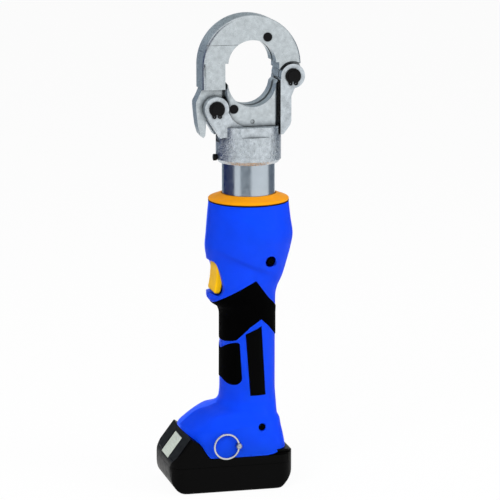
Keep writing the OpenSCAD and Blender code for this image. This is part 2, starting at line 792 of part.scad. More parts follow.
module motor_can() {
    color("silver") difference() {
        translate([0, 0, motor_z]) cylinder(r = motor_r, h = motor_h);
        translate([0, 0, motor_z - 1]) cylinder(r = motor_r - can_wall, h = motor_h - 5);
        translate([0, 0, motor_top - 7]) cylinder(r = bearing_r, h = 5);
        translate([0, 0, motor_top - 7]) cylinder(r = shaft_r + 1.5, h = 20);
    }
}

module motor_magnets() {
    color([0.3, 0.3, 0.32]) difference() {
        tube_z(motor_r - can_wall - run, rotor_r + 0.7, motor_z + 8, motor_top - 8);
        for (side = [-1, 1]) translate([side * motor_r, 0, motor_z])
            cube([2 * motor_r, 8, 4 * motor_h], center = true);
    }
}

module motor_bearings() {
    color("lightgray") {
        tube_z(bearing_r - run, shaft_r + run, motor_z - cap_h + 2, motor_z - cap_h + 7);
        tube_z(bearing_r - run, shaft_r + run, motor_top - 6.5, motor_top - 2.2);
    }
}

module motor_rotor() {
    color("peru") {
        translate([0, 0, motor_z - cap_h + 2.3])
            cylinder(r = shaft_r, h = gear_z - 0.4 - motor_z + cap_h - 2.3);
        translate([0, 0, gear_z - 0.5]) cylinder(r = shaft_r - 0.6, h = gear_h + 0.5);
        difference() {
            translate([0, 0, motor_z + 10]) cylinder(r = rotor_r, h = motor_h - 20);
            for (i = [0:5]) rotate([0, 0, 60 * i]) translate([rotor_r - 2, -1, motor_z])
                cube([5, 2, motor_h]);
        }
    }
}

// Involute gear outline: teeth, radii of root and tip, tooth thinning in millimetres
pressure = 25;
function roll(rb, r) = r <= rb ? 0 : sqrt((r / rb) * (r / rb) - 1) * 180 / PI - acos(rb / r);
function half_tooth(n, r, thin) =
    let (rp = gear_m * n / 2, rb = rp * cos(pressure))
    90 / n + roll(rb, rp) - roll(rb, r) - thin / (2 * rp) * 180 / PI;
function flank(n, r, c, side, thin) =
    let (a = c + side * half_tooth(n, r, thin)) r * [cos(a), sin(a)];
function gear_outline(n, root, tip, thin) = [for (i = [0:n - 1]) let (c = 360 * i / n) each concat(
    [for (k = [0:4]) flank(n, root + (tip - root) * k / 4, c, -1, thin)],
    [for (k = [4:-1:0]) flank(n, root + (tip - root) * k / 4, c, 1, thin)])];
thin = 0.1;
function pitch_r(n) = gear_m * n / 2;

module spur(n, z0, z1) {
    translate([0, 0, z0]) linear_extrude(z1 - z0)
        polygon(gear_outline(n, pitch_r(n) - 1.1 * gear_m, pitch_r(n) + 0.8 * gear_m, thin));
}

module sun_gear() {
    color("lightslategray") difference() {
        spur(sun_teeth, gear_z, gear_z + gear_h);
        translate([0, 0, gear_z - 1]) cylinder(r = shaft_r - 0.6 + run, h = gear_h + 2);
    }
}

module ring_gear() {
    color("slategray") difference() {
        translate([0, 0, motor_top]) cylinder(r = ring_gear_r, h = ring_gear_h);
        translate([0, 0, motor_top + 2]) linear_extrude(gear_z + gear_h + 1 - motor_top - 2)
            polygon(gear_outline(ring_teeth, pitch_r(ring_teeth) - 0.8 * gear_m,
                pitch_r(ring_teeth) + 1.1 * gear_m, -thin));
        translate([0, 0, gear_z + gear_h + 1 - tiny]) cylinder(r = ring_gear_r - 2.6, h = ring_gear_h);
        translate([0, 0, motor_top - 1]) cylinder(r = 9, h = 5);
    }
}

module planet_gear(k) {
    turn = 120 * k;
    phase = turn + 180 + sun_teeth / planet_teeth * turn - 180 / planet_teeth;
    color("lightsteelblue") translate([planet_d * cos(turn), planet_d * sin(turn), 0]) difference() {
        rotate([0, 0, phase]) spur(planet_teeth, gear_z, gear_z + gear_h);
        translate([0, 0, gear_z - 1]) cylinder(r = planet_pin_r + run, h = gear_h + 2);
    }
}

module planet_gear_1() {
    planet_gear(0);
}

module planet_gear_2() {
    planet_gear(1);
}

module planet_gear_3() {
    planet_gear(2);
}

module planet_pins() {
    color("gray") for (k = [0:2]) rotate([0, 0, 120 * k]) translate([planet_d, 0, gear_z])
        cylinder(r = planet_pin_r, h = carrier_plate_z + plate_h - gear_z);
}

crank_tail_r = 4;
crank_z = plunger_z - 6;

module eccentric_shaft() {
    color("darkgray") difference() {
        union() {
            translate([0, 0, carrier_plate_z]) cylinder(r = planet_d + 4.6, h = plate_h);
            translate([0, 0, carrier_plate_z + plate_h - tiny])
                cylinder(r = crank_r, h = crank_z - carrier_plate_z - plate_h);
            translate([-throw, 0, crank_z - 0.5]) cylinder(r = crank_r, h = 12.5);
            translate([0, 0, crank_z + 11]) cylinder(r = crank_tail_r, h = waist_z - crank_z - 11 + 3);
        }
        for (k = [0:2]) rotate([0, 0, 120 * k]) translate([planet_d, 0, carrier_plate_z - 1])
            cylinder(r = planet_pin_r, h = plate_h + 2);
    }
}

module crank_bearing() {
    color("lightgray") translate([-throw, 0, 0])
        tube_z(crank_bearing_r, crank_r + run, crank_z + 1, crank_z + 11);
}

cavity_r = 11;

module shaft_bearing() {
    color("lightgray") tube_z(cavity_r - run, crank_r + run, case_z + 1, case_z + 7);
}

// Pump
plunger_in = throw + crank_bearing_r + gap;
plunger_l = 2 * plunger_r + 0.2;
pump_arm = grip_back - wall + 0.8;

module pump_block() {
    color("lightgray") difference() {
        union() {
            translate([0, 0, case_z]) cylinder(r = ring_gear_r, h = 4);
            translate([0, 0, case_z]) cylinder(r = case_r, h = waist_z - case_z);
            translate([0, 0, waist_z - 1]) cylinder(r = 9, h = pump_z - waist_z + 2);
            translate([0, 0, pump_z]) cylinder(r = pump_r, h = pump_h);
            cyl_x(7, cavity_r + 1, pump_arm, 0, plunger_z);
        }
        translate([0, 0, case_z - 1]) cylinder(r = cavity_r, h = plunger_z + 7.5 - case_z + 1);
        translate([0, 0, case_z]) cylinder(r = crank_tail_r + run, h = waist_z - case_z + 4);
        cyl_x(plunger_r + run, 5, pump_arm - 1, 0, plunger_z);
        cyl_x(plunger_r + 1.5, pump_arm - 3, pump_arm + 1, 0, plunger_z);
        for (a = cylinder_screw_angles) rotate([0, 0, a]) translate([cyl_r + 2.8, 0, pump_top - 9])
            cylinder(r = 1.5, h = 20);
    }
}

module pump_plunger() {
    color("silver") cyl_x(plunger_r, plunger_in, plunger_in + plunger_l, 0, plunger_z);
}

module plunger_spring() {
    x0 = plunger_in + plunger_l + 0.1;
    color("silver") translate([x0, 0, plunger_z]) rotate([0, 90, 0])
        coil(plunger_r - 0.75, 0.4, pump_arm - 3.1 - x0, 4);
}

module plunger_plug() {
    color("gray") cyl_x(plunger_r + 1.5 - run, pump_arm - 3, pump_arm, 0, plunger_z);
}

// Cylinder, its screws and the oil bladder round it
cylinder_screw_angles = [45, 135, 225, 315];

module cylinder_screws() {
    color("dimgray") for (a = cylinder_screw_angles) rotate([0, 0, a]) translate([cyl_r + 2.8, 0, 0]) {
        translate([0, 0, pump_top - 8]) cylinder(r = 1.5 - run, h = flange_h + 5);
        translate([0, 0, pump_top + flange_h - 3.2]) cylinder(r = 2.5, h = 3);
    }
}

module ram_cylinder() {
    color("silver") difference() {
        union() {
            translate([0, 0, pump_top]) cylinder(r = cyl_r, h = cyl_top - pump_top);
            translate([0, 0, pump_top]) cylinder(r = pump_r, h = flange_h);
        }
        translate([0, 0, pump_top - 1]) cylinder(r = bore_r, h = cyl_top - pump_top + 2);
        tube_z(cyl_r + 5, cyl_r - 0.9, lock_z - 2.4, lock_z + 2.4);
        for (a = cylinder_screw_angles) rotate([0, 0, a]) translate([cyl_r + 2.8, 0, pump_top]) {
            translate([0, 0, -1]) cylinder(r = 1.5, h = 20);
            translate([0, 0, flange_h - 3.3]) cylinder(r = 2.6, h = 10);
        }
    }
}

bladder_z = pump_top + flange_h + gap;
bladder_h = seam_z - 7 - gap - 1.4 - bladder_z;
bladder_round = 2;
bladder_r = barrel_r - 7;

module oil_bladder() {
    color([0.15, 0.15, 0.16]) translate([0, 0, bladder_z]) rotate_extrude()
        polygon(concat([[cyl_r + gap, 0]],
            arc(bladder_r - bladder_round, bladder_round, bladder_round, -90, 0, 4),
            arc(bladder_r - bladder_round, bladder_h - bladder_round, bladder_round, 0, 90, 4),
            [[cyl_r + gap, bladder_h]]));
}

module collar_ring() {
    dome = ring_r - ring_top_r;
    color([0.96, 0.65, 0.05]) translate([0, 0, seam_z]) rotate_extrude() polygon(concat(
        [[cyl_r + gap, 0], [cyl_r + gap, -7], [ring_r - wall - 3.5, -7],
            [ring_r - wall - 0.6, -6], [ring_r - wall - 0.6, 0.25], [ring_r, 0.25]],
        [for (i = [0:10]) let (a = 90 * i / 10) [ring_top_r + dome * cos(a), 1.2 + (ring_h - 1.2) * sin(a)]],
        [[cyl_r + gap + 1, ring_h], [cyl_r + gap, ring_h - 1]]));
}

module rod_guide() {
    color("darkgoldenrod") tube_z(bore_r - run, rod_r + run, guide_z, guide_z + guide_h);
}

// Ram
module ram_piston() {
    color("silver") difference() {
        union() {
            translate([0, 0, piston_z]) cylinder(r = bore_r - run, h = piston_h);
            translate([0, 0, piston_z]) cylinder(r = rod_r, h = carrier_z - piston_z);
            translate([0, 0, piston_z]) cylinder(r = spigot_r, h = spigot_top - piston_z);
        }
        tube_z(bore_r + 5, bore_r - 2.2, piston_z + 5, piston_z + 9);
        cyl_y(cross_pin_r, -20, 20, 0, carrier_z + 4);
    }
}

cross_pin_r = 2;

module piston_seal() {
    color([0.1, 0.1, 0.1]) tube_z(bore_r - run, bore_r - 2.2 + run, piston_z + 5 + run, piston_z + 9 - run);
}

module return_spring() {
    z0 = piston_z + piston_h + 0.1;
    color("gray") translate([0, 0, z0]) coil((bore_r + rod_r) / 2, 1.3, guide_z - 0.2 - z0, 8);
}

module rod_wiper() {
    color([0.1, 0.1, 0.1]) tube_z(rod_r + 2.5 - run, rod_r + run, fork_floor - 3.4, fork_floor - 0.3);
}

// Head
lock_z = head_z + 4.6;
lock_knob_r = 3;

module fork_ears() {
    cyl_y(ear_r, -fork_half, fork_half, hinge_x, hinge_z);
    cyl_y(ear_r, -fork_half, fork_half, -latch_x, latch_z);
    // rear arm
    slab(-fork_half, fork_half) polygon([
        [slot_half, fork_floor - 8], [collar_r - 1.3, collar_top + 1], [slot_half + 8.8, fork_floor + 0.3],
        [slot_half + 9.9, fork_floor + 4], [slot_half + 9.9, hinge_z - 18], [hinge_x + 2, hinge_z - 10],
        [hinge_x, hinge_z], [slot_half, hinge_z - 2]
    ]);
    // front arm
    slab(-fork_half, fork_half) polygon([
        [-8, fork_floor - 8], [-8, fork_floor], [-14.7, fork_floor + 3.3], [-19, fork_floor + 7.3],
        [-latch_x + ear_r - 0.6, latch_z - 3], [-latch_x, latch_z], [-latch_x - ear_r + 1.4, latch_z - 5.5],
        [-collar_r - 0.3, collar_top - 1], [-collar_r + 3, fork_floor - 9]
    ]);
}

module fork_base() {
    translate([0, 0, head_z + 3]) cylinder(r = collar_r, h = collar_h - 3);
    translate([0, 0, head_z]) cylinder(r1 = collar_r - 2.4, r2 = collar_r, h = 3);
    intersection() {
        translate([0, 0, collar_top - 1]) cylinder(r = collar_r, h = floor_rise - collar_h + 1);
        translate([0, 0, collar_top - 2]) linear_extrude(20) polygon([
            [-14, -collar_r + 3], [14, -collar_r + 3], [slot_half, -fork_half], [collar_r, -10],
            [collar_r, 10],
            [slot_half, fork_half], [14, collar_r - 3], [-14, collar_r - 3], [-slot_half, fork_half],
            [-collar_r, 10], [-collar_r, -10], [-slot_half, -fork_half]
        ]);
    }
}

module head_fork() {
    color([0.85, 0.85, 0.84]) difference() {
        union() {
            fork_base();
            fork_ears();
        }
        // slot for the die carrier
        translate([-slot_half, -head_half - 0.2, fork_floor]) cube([2 * slot_half, head_t + 0.4, 200]);
        // gaps between the ears
        translate([slot_half - 1, -ear_gap, hinge_z - 13]) cube([60, 2 * ear_gap, 60]);
        translate([-latch_x - 60, -ear_gap, fork_floor + 2])
            cube([60 + latch_x - slot_half + 1, 2 * ear_gap, 60]);
        translate([-latch_x - 60, -ear_gap, collar_top - 6])
            cube([60 + latch_x - collar_r + 2.2, 2 * ear_gap, 60]);
        // bores
        for (p = [[hinge_x, hinge_z], [-latch_x, latch_z]]) cyl_y(pin_r + run, -60, 60, p[0], p[1]);
        translate([0, 0, head_z - 1]) cylinder(r = cyl_r + run, h = collar_h + 1);
        translate([0, 0, head_z]) cylinder(r = rod_r + 0.6, h = 60);
        translate([0, 0, fork_floor - 3.5]) cylinder(r = rod_r + 2.5, h = 20);
        cyl_x(2 + run, -60, -10, 0, lock_z);
    }
}

clip_y = fork_half + 0.2;
clip_t = 1.2;
pin_groove = 0.6;

module head_pins() {
    color([0.12, 0.12, 0.13]) for (p = [[hinge_x, hinge_z], [-latch_x, latch_z]]) difference() {
        cyl_y(pin_r, -clip_y - clip_t - 0.7, clip_y + clip_t + 0.7, p[0], p[1]);
        for (side = [-1, 1]) translate([p[0], side * (clip_y + clip_t / 2), p[1]]) rotate([90, 0, 0])
            difference() {
                cylinder(r = pin_r + 1, h = clip_t + 0.1, center = true);
                cylinder(r = pin_r - pin_groove, h = 5, center = true);
            }
    }
}

module circlip() {
    rotate([90, 0, 0]) linear_extrude(clip_t, center = true) difference() {
        union() {
            circle(r = pin_r + 2.1);
            for (side = [-1, 1]) translate([side * 2.5, -pin_r - 1.6]) circle(r = 1.8);
        }
        circle(r = pin_r - pin_groove + run);
        translate([-0.8, -pin_r - 8]) square([1.6, pin_r + 4]);
        for (side = [-1, 1]) translate([side * 2.5, -pin_r - 1.8]) circle(r = 0.7);
    }
}

module pin_circlips() {
    color([0.1, 0.1, 0.1]) for (p = [[hinge_x, hinge_z], [-latch_x, latch_z]], side = [-1, 1])
        translate([p[0], side * (clip_y + clip_t / 2), p[1]]) circlip();
}

module head_lock_screw() {
    color([0.1, 0.1, 0.1]) {
        cyl_x(lock_knob_r, -collar_r - 3.2, -collar_r - 0.1, 0, lock_z);
        cyl_x(2, -collar_r - 1, -cyl_r + 0.5, 0, lock_z);
    }
}

// Envelope of jaw and latch: a disc with a rounded rim over straight sides
module rim_disc() {
    translate([0, 0, arch_z]) rotate([90, 0, 0]) rotate_extrude($fn = 128) polygon(concat(
        [[0, -head_half]],
        arc(arch_r - rim_round, -head_half + rim_round, rim_round, -90, 0, 6),
        arc(arch_r - rim_round, head_half - rim_round, rim_round, 0, 90, 6),
        [[0, head_half]]));
}

module rim_wall() {
    translate([0, 0, arch_z - 60]) linear_extrude(60) rounded_rect(-arch_r, arch_r, head_half, rim_round);
}

module seat_cut(z) {
    cyl_y(seat_r, -60, 60, 0, z);
    cyl_y(seat_r + 1.4, -3, 3, 0, z);
}

die_button_x = 14;
die_button_z = jaw_seat_z + 24.4;
low_button_x = -17;
low_button_z = carrier_z + 15.7;
die_button_l = 7;
die_button_proud = 0.9;
die_bore_l = die_button_l + 6;

module die_button_bore(x, z) {
    cyl_y(die_button_r + run, -head_half - 5, -head_half + die_bore_l, x, z);
}

module upper_jaw() {
    color([0.85, 0.85, 0.84]) difference() {
        union() {
            intersection() {
                rim_disc();
                slab(-head_half, head_half) polygon([
                    [-60, seam_top + gap], [0, seam_top + gap], [0, lip_low], [recess_x, lip_low],
                    [recess_x, hinge_z + 6], [60, hinge_z + 6], [60, arch_z + arch_r + 5],
                    [-60, arch_z + arch_r + 5]
                ]);
            }
            // hook under the latch
            intersection() {
                rim_disc();
                slab(-cheek_in + gap, cheek_in - gap) polygon([
                    [-60, lip_z + gap], [-latch_x - 0.4, lip_z + gap], [-latch_x - 3, lip_z - 6.9],
                    [-latch_x - 3.6, hook_z + gap], [-recess_x, hook_z + gap], [-recess_x, lip_low],
                    [-8, lip_low], [-8, seam_top + 3], [-60, seam_top + 3]
                ]);
            }
            // hinge tongue
            cyl_y(ear_r + 0.3, -tongue_half, tongue_half, hinge_x, hinge_z);
            slab(-tongue_half, tongue_half) polygon([
                [slot_half + 1.4, hinge_z + 16], [slot_half + 1.4, hinge_z + 2], [hinge_x, hinge_z],
                [hinge_x + ear_r, hinge_z + 2], [hinge_x + 7, hinge_z + 14], [hinge_x + 4, hinge_z + 20]
            ]);
        }
        seat_cut(jaw_seat_z);
        cyl_y(pin_r + run, -60, 60, hinge_x, hinge_z);
        for (side = [-1, 1]) translate([hinge_x, side * (tongue_half + 10), hinge_z]) rotate([90, 0, 0])
            cylinder(r = ear_r + 2.2, h = 20, center = true);
        die_button_bore(die_button_x, die_button_z);
    }
}

module side_latch() {
    color([0.85, 0.85, 0.84]) difference() {
        union() {
            intersection() {
                union() {
                    rim_disc();
                    rim_wall();
                }
                union() {
                    for (side = [-1, 1])
                        slab(side > 0 ? cheek_in : -head_half, side > 0 ? head_half : -cheek_in) polygon([
                            [-60, latch_low], [-recess_x, latch_low], [-recess_x, lip_low], [-8, lip_low],
                            [-8, seam_top], [-60, seam_top]
                        ]);
                    slab(-cheek_in - tiny, cheek_in + tiny) polygon([
                        [-60, lip_z], [-latch_x - 0.7, lip_z], [-latch_x - 3.3, lip_z - 6.9],
                        [-latch_x - 3.9, hook_z], [-recess_x, hook_z], [-recess_x, latch_low],
                        [-60, latch_low]
                    ]);
                }
            }
            // tongue, boss and finger tail
            cyl_y(latch_boss_r, -tongue_half, tongue_half, -latch_x, latch_z);
            slab(-tongue_half, tongue_half) polygon([
                [-arch_r + 1, latch_low + 1], [-arch_r - 1.3, latch_z + 12.6], [-arch_r - 5, latch_z + 5.5],
                [-arch_r - 5, latch_z + 1.6], [-arch_r - 4, latch_z - 9.4], [-arch_r - 3, latch_z - 16.4],
                [-arch_r - 1, latch_z - 23.4], [-arch_r + 1.7, latch_z - 26.9],
                [-arch_r + 3.5, latch_z - 24.9],
                [-arch_r + 4.1, latch_z - 17.4], [-arch_r + 4.4, latch_z - 9],
                [-latch_x - 3, latch_z - latch_boss_r + 1.3], [-latch_x, latch_z],
                [-latch_x + latch_boss_r - 1.8, latch_z + 1], [-recess_x - 1.2, latch_low + 1]
            ]);
        }
        seat_cut(jaw_seat_z);
        cyl_y(pin_r + run, -60, 60, -latch_x, latch_z);
    }
}

module die_carrier() {
    color([0.85, 0.85, 0.84]) difference() {
        intersection() {
            translate([0, 0, carrier_z - 1]) linear_extrude(80)
                rounded_rect(-carrier_half, carrier_half, head_half, 5);
            slab(-60, 60) polygon([
                [-carrier_half + 3, carrier_z], [carrier_half - 3, carrier_z], [carrier_half, carrier_z + 3],
                [carrier_half, carrier_seat_z + 1.3], [carrier_half - 3.4, carrier_seat_z - 3.3],
                [0, carrier_seat_z - 3.3], [-carrier_half + 3.4, carrier_seat_z - 3.3],
                [-carrier_half, carrier_seat_z + 1.3], [-carrier_half, carrier_z + 3]
            ]);
        }
        seat_cut(carrier_seat_z);
        translate([0, 0, carrier_z - 1]) cylinder(r = spigot_r + run, h = spigot_h + 1 + run);
        cyl_y(cross_pin_r, -20, 20, 0, carrier_z + 4);
        die_button_bore(low_button_x, low_button_z);
    }
}

module die_button(x, z) {
    cyl_y(die_button_r, -head_half - die_button_proud, -head_half + die_button_l, x, z);
}

module upper_die_button() {
    color([0.08, 0.08, 0.08]) die_button(die_button_x, die_button_z);
}

module lower_die_button() {
    color([0.08, 0.08, 0.08]) die_button(low_button_x, low_button_z);
}

module carrier_pin() {
    color("gray") cyl_y(cross_pin_r - run, -head_half + 1, head_half - 1, 0, carrier_z + 4);
}

// Trigger group
module trigger() {
    color([0.88, 0.72, 0.08]) difference() {
        union() {
            slab(-trigger_half, trigger_half) polygon([
                [-trigger_x - 2.5, trigger_z + 2.5], [-trigger_x - 4.6, trigger_z + 1],
                [-trigger_x - 5.5, trigger_z - 6.5], [-trigger_x - 6.5, trigger_z - 14.5],
                [-trigger_x - 8.7, trigger_z - 23.3], [-trigger_x - 8.1, trigger_z - 24.6],
                [-trigger_x - 3.9, trigger_z - 25.6], [-trigger_x - 0.7, trigger_z - 23.9],
                [-trigger_x + 1.3, trigger_z - 20], [-trigger_x + 2.5, trigger_z - 12.5],
                [-trigger_x + 3.1, trigger_z - 3.5]
            ]);
            cyl_y(3.2, -trigger_half, trigger_half, -trigger_x, trigger_z);
        }
        cyl_y(trigger_pin_r + run, -60, 60, -trigger_x, trigger_z);
    }
}

module trigger_pin() {
    color("gray") cyl_y(trigger_pin_r, -trigger_half - 2.8, trigger_half + 2.8, -trigger_x, trigger_z);
}

switch_x = trigger_x - 5.2;
switch_z = trigger_z - 23;

module switch_body() {
    color([0.15, 0.15, 0.16]) translate([-switch_x, -10.5, switch_z])
        cube([switch_x - case_r - gap, 21, 20]);
}

module trigger_spring() {
    color("silver") translate([-trigger_x + 2.2, 0, trigger_z - 18]) rotate([0, 90, 0])
        coil(2.2, 0.35, trigger_x - 2.2 - switch_x - 0.1, 2);
}

battery_case();
battery_cover();
battery_cells();
battery_contacts();
battery_button();
battery_button_spring();
housing_left();
housing_right();
soft_grip_left();
soft_grip_right();
label_plate();
housing_screws();
status_light();
carry_ring();
ring_stud();
terminal_block();
terminal_blades();
control_board();
motor_leads();
motor_end_cap();
motor_can();
motor_magnets();
motor_bearings();
motor_rotor();
sun_gear();
ring_gear();
planet_gear_1();
planet_gear_2();
planet_gear_3();
planet_pins();
eccentric_shaft();
crank_bearing();
shaft_bearing();
pump_block();
pump_plunger();
plunger_spring();
plunger_plug();
oil_bladder();
cylinder_screws();
trigger();
trigger_pin();
trigger_spring();
switch_body();
collar_ring();
ram_cylinder();
rod_guide();
ram_piston();
piston_seal();
return_spring();
head_fork();
rod_wiper();
head_pins();
pin_circlips();
head_lock_screw();
upper_jaw();
side_latch();
die_carrier();
carrier_pin();
upper_die_button();
lower_die_button();
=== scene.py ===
"""Studio scene of a battery-powered hydraulic crimping tool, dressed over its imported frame.

The tool stands on its battery with the ram cylinder along +Z, the trigger towards -X and its left side
towards -Y. The tool's lengths are millimetres until a mesh is written. The studio's are metres.
"""
import json
import logging
import math
from dataclasses import dataclass
from enum import Enum

import bmesh
import bpy
import numpy as np
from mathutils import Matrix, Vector

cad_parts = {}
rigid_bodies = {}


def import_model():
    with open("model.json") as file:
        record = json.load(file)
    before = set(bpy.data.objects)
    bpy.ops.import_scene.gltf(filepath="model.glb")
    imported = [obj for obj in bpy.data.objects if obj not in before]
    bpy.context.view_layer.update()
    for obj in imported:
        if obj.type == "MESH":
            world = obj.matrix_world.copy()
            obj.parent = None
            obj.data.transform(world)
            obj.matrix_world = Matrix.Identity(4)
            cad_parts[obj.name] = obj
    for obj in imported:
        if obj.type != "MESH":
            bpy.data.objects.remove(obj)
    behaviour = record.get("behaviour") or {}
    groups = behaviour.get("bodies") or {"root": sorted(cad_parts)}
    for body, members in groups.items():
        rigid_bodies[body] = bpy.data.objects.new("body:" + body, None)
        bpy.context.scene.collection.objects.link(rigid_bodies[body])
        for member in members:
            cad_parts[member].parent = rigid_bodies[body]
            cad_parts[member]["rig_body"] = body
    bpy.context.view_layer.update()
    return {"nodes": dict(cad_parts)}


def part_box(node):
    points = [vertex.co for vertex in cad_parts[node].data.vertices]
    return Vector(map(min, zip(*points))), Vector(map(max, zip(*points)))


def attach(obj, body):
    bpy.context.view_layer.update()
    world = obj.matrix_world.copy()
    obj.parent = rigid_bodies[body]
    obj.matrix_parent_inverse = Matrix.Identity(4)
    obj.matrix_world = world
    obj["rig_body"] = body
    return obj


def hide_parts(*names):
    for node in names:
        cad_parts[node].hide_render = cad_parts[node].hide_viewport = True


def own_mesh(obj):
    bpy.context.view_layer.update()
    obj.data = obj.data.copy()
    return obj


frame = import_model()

Pair = tuple[float, float]
Triple = tuple[float, float, float]
Table = tuple[tuple[float, ...], ...]
Faces = list[list[int]]
Array = np.ndarray
Piece = bpy.types.Object
Socket = bpy.types.NodeSocket

LOG = logging.getLogger("crimping_tool")
MM = 0.001
WHITE = (1, 1, 1, 1)
SIDES = ((-1, "left"), (1, "right"))

# Reach of the cutters: past the tool along Y and X, above the pack and the handle, below the underside
FAR_Y = 60.0
FAR_X = 150.0
FAR_Z = 90.0
FAR_TOP = 400.0
UNDER = -5.0

# Sizes that two sub-assemblies share: the trigger's pin, X and Z, and the handle's floor on the pack
TRIGGER_PIN = (-29.5, 204.5)
DECK_FLOOR = 36.7

# Mesh work: angles in degrees, the distance in metres at which two points are one, rows of a rounded rim,
# the least share that keeps a sharp corner's point near when an outline moves in, and a bore's open axis
EDGE_ANGLE = 32.0
COVER_ANGLE = 50.0
FLAT_ANGLE = 0.4
SAME_POINT = 2e-6
RIM_ROWS = 6
MITRE = 0.35
TINY = 1e-9
AXIS = 0.01

# Finishes: the range most noise lies in, shade painted into nooks, streaks of gloss, turned rings and forge
# scale
NOISE_SPAN = (0.3, 0.7)
NOOK_REACH = 5.0
NOOK_SPAN = (0.45, 0.95)
NOOK_SHADE_TONE = 0.06
STREAK = 0.35
GLOSSIEST = 0.02
COAT_ROUGHNESS = 0.12
RING_STRETCH = (0.02, 0.02, 1)
PIT_SIZE = 0.8
PIT_SHARE = 0.6
GROUND_FADE = 8.0
GROUND_RELIEF = 0.15


class Bump(Enum):
    """Kinds of fine relief that a finish can carry."""

    GRAIN = "moulded grain"
    PEBBLE = "soft pebbles"
    TURNED = "fine rings round Z"
    FORGED = "forge scale"
    SATIN = "satin blasting"


# Octaves of the noise that each kind of relief is made from, and of the blotches and streaks
OCTAVES = {Bump.GRAIN: 2.0, Bump.TURNED: 3.0, Bump.FORGED: 4.0, Bump.SATIN: 6.0}
BLOTCH_OCTAVES = 3.0
STREAK_OCTAVES = 4.0


class Cut(Enum):
    """The ways in which one solid works on another."""

    UNION = "UNION"
    DIFFERENCE = "DIFFERENCE"
    INTERSECT = "INTERSECT"


def linear(colour: Triple) -> tuple[float, ...]:
    """Turn a display colour into linear light, by the display curve.

    Args:
        colour: red, green and blue from 0 to 255.

    Returns:
        Linear red, green, blue and an alpha of one.
    """
    share = np.asarray(colour, float) / 255
    value = np.where(share <= 0.04045, share / 12.92, ((share + 0.055) / 1.055) ** 2.4)
    return (*value.tolist(), 1.0)


def smoothstep(low: float, high: float, value: Array) -> Array:
    """Rise from 0 to 1 between low and high, along 3t^2 - 2t^3."""
    t = np.clip((value - low) / (high - low), 0, 1)
    return t * t * (3 - 2 * t)


def rolled(share: Array) -> Array:
    """Rise from 0 to 1 along a quarter circle: sqrt(1 - (1 - t)^2), with t held between 0 and 1."""
    return np.sqrt(1 - (1 - np.clip(share, 0, 1)) ** 2)


def squared(wave: Array, square: Array | float) -> Array:
    """Draw a cosine or sine out towards a square, as a superellipse has it: sign(w) |w|^(2 / square)."""
    return np.sign(wave) * np.abs(wave) ** (2 / square)


def around(count: int) -> Array:
    """Angles of points spaced evenly round a full turn."""
    return np.linspace(0, 2 * np.pi, count, endpoint=False)


@dataclass
class Graph:
    """A node tree that nodes are added to, each fed by numbers or by other nodes."""

    tree: bpy.types.NodeTree

    def feed(self, node: bpy.types.Node, inputs: dict) -> None:
        """Set a node's inputs, or link them where an output is given.

        Args:
            node: the node.
            inputs: a number, a colour or an output, by the input's name or place.
        """
        for key, value in inputs.items():
            if isinstance(value, Socket):
                self.tree.links.new(value, node.inputs[key])
            else:
                node.inputs[key].default_value = value

    def add(self, kind: str, inputs: dict, out: str, **settings: str | int) -> Socket:
        """Add a node.

        Args:
            kind: its type.
            inputs: what its inputs get.
            out: name of the output that is asked for.
            settings: its own settings.

        Returns:
            The output.
        """
        node = self.tree.nodes.new(f"ShaderNode{kind}")
        for key, value in settings.items():
            setattr(node, key, value)
        self.feed(node, inputs)
        return node.outputs[out]

    def math(self, operation: str, *values: Socket | float) -> Socket:
        """Add a sum, a product or another operation on values."""
        return self.add("Math", dict(enumerate(values)), "Value", operation=operation)

    def noise(self, place: Socket, size: float, detail: float) -> Socket:
        """Add a noise around one half, whose features have a size in millimetres."""
        return self.add("TexNoise", {"Vector": place, "Scale": 1 / (size * MM), "Detail": detail}, "Fac")

    def cells(self, place: Socket, size: float, feature: str) -> Socket:
        """Add the distance from the middles of scattered cells, which have a size in millimetres."""
        inputs = {"Vector": place, "Scale": 1 / (size * MM)}
        return self.add("TexVoronoi", inputs, "Distance", feature=feature)

    def spread(self, value: Socket, limits: Pair, result: Pair) -> Socket:
        """Map a value from limits to a result range, held at its ends."""
        names = ("Value", "From Min", "From Max", "To Min", "To Max")
        return self.add("MapRange", dict(zip(names, (value, *limits, *result))), "Result")


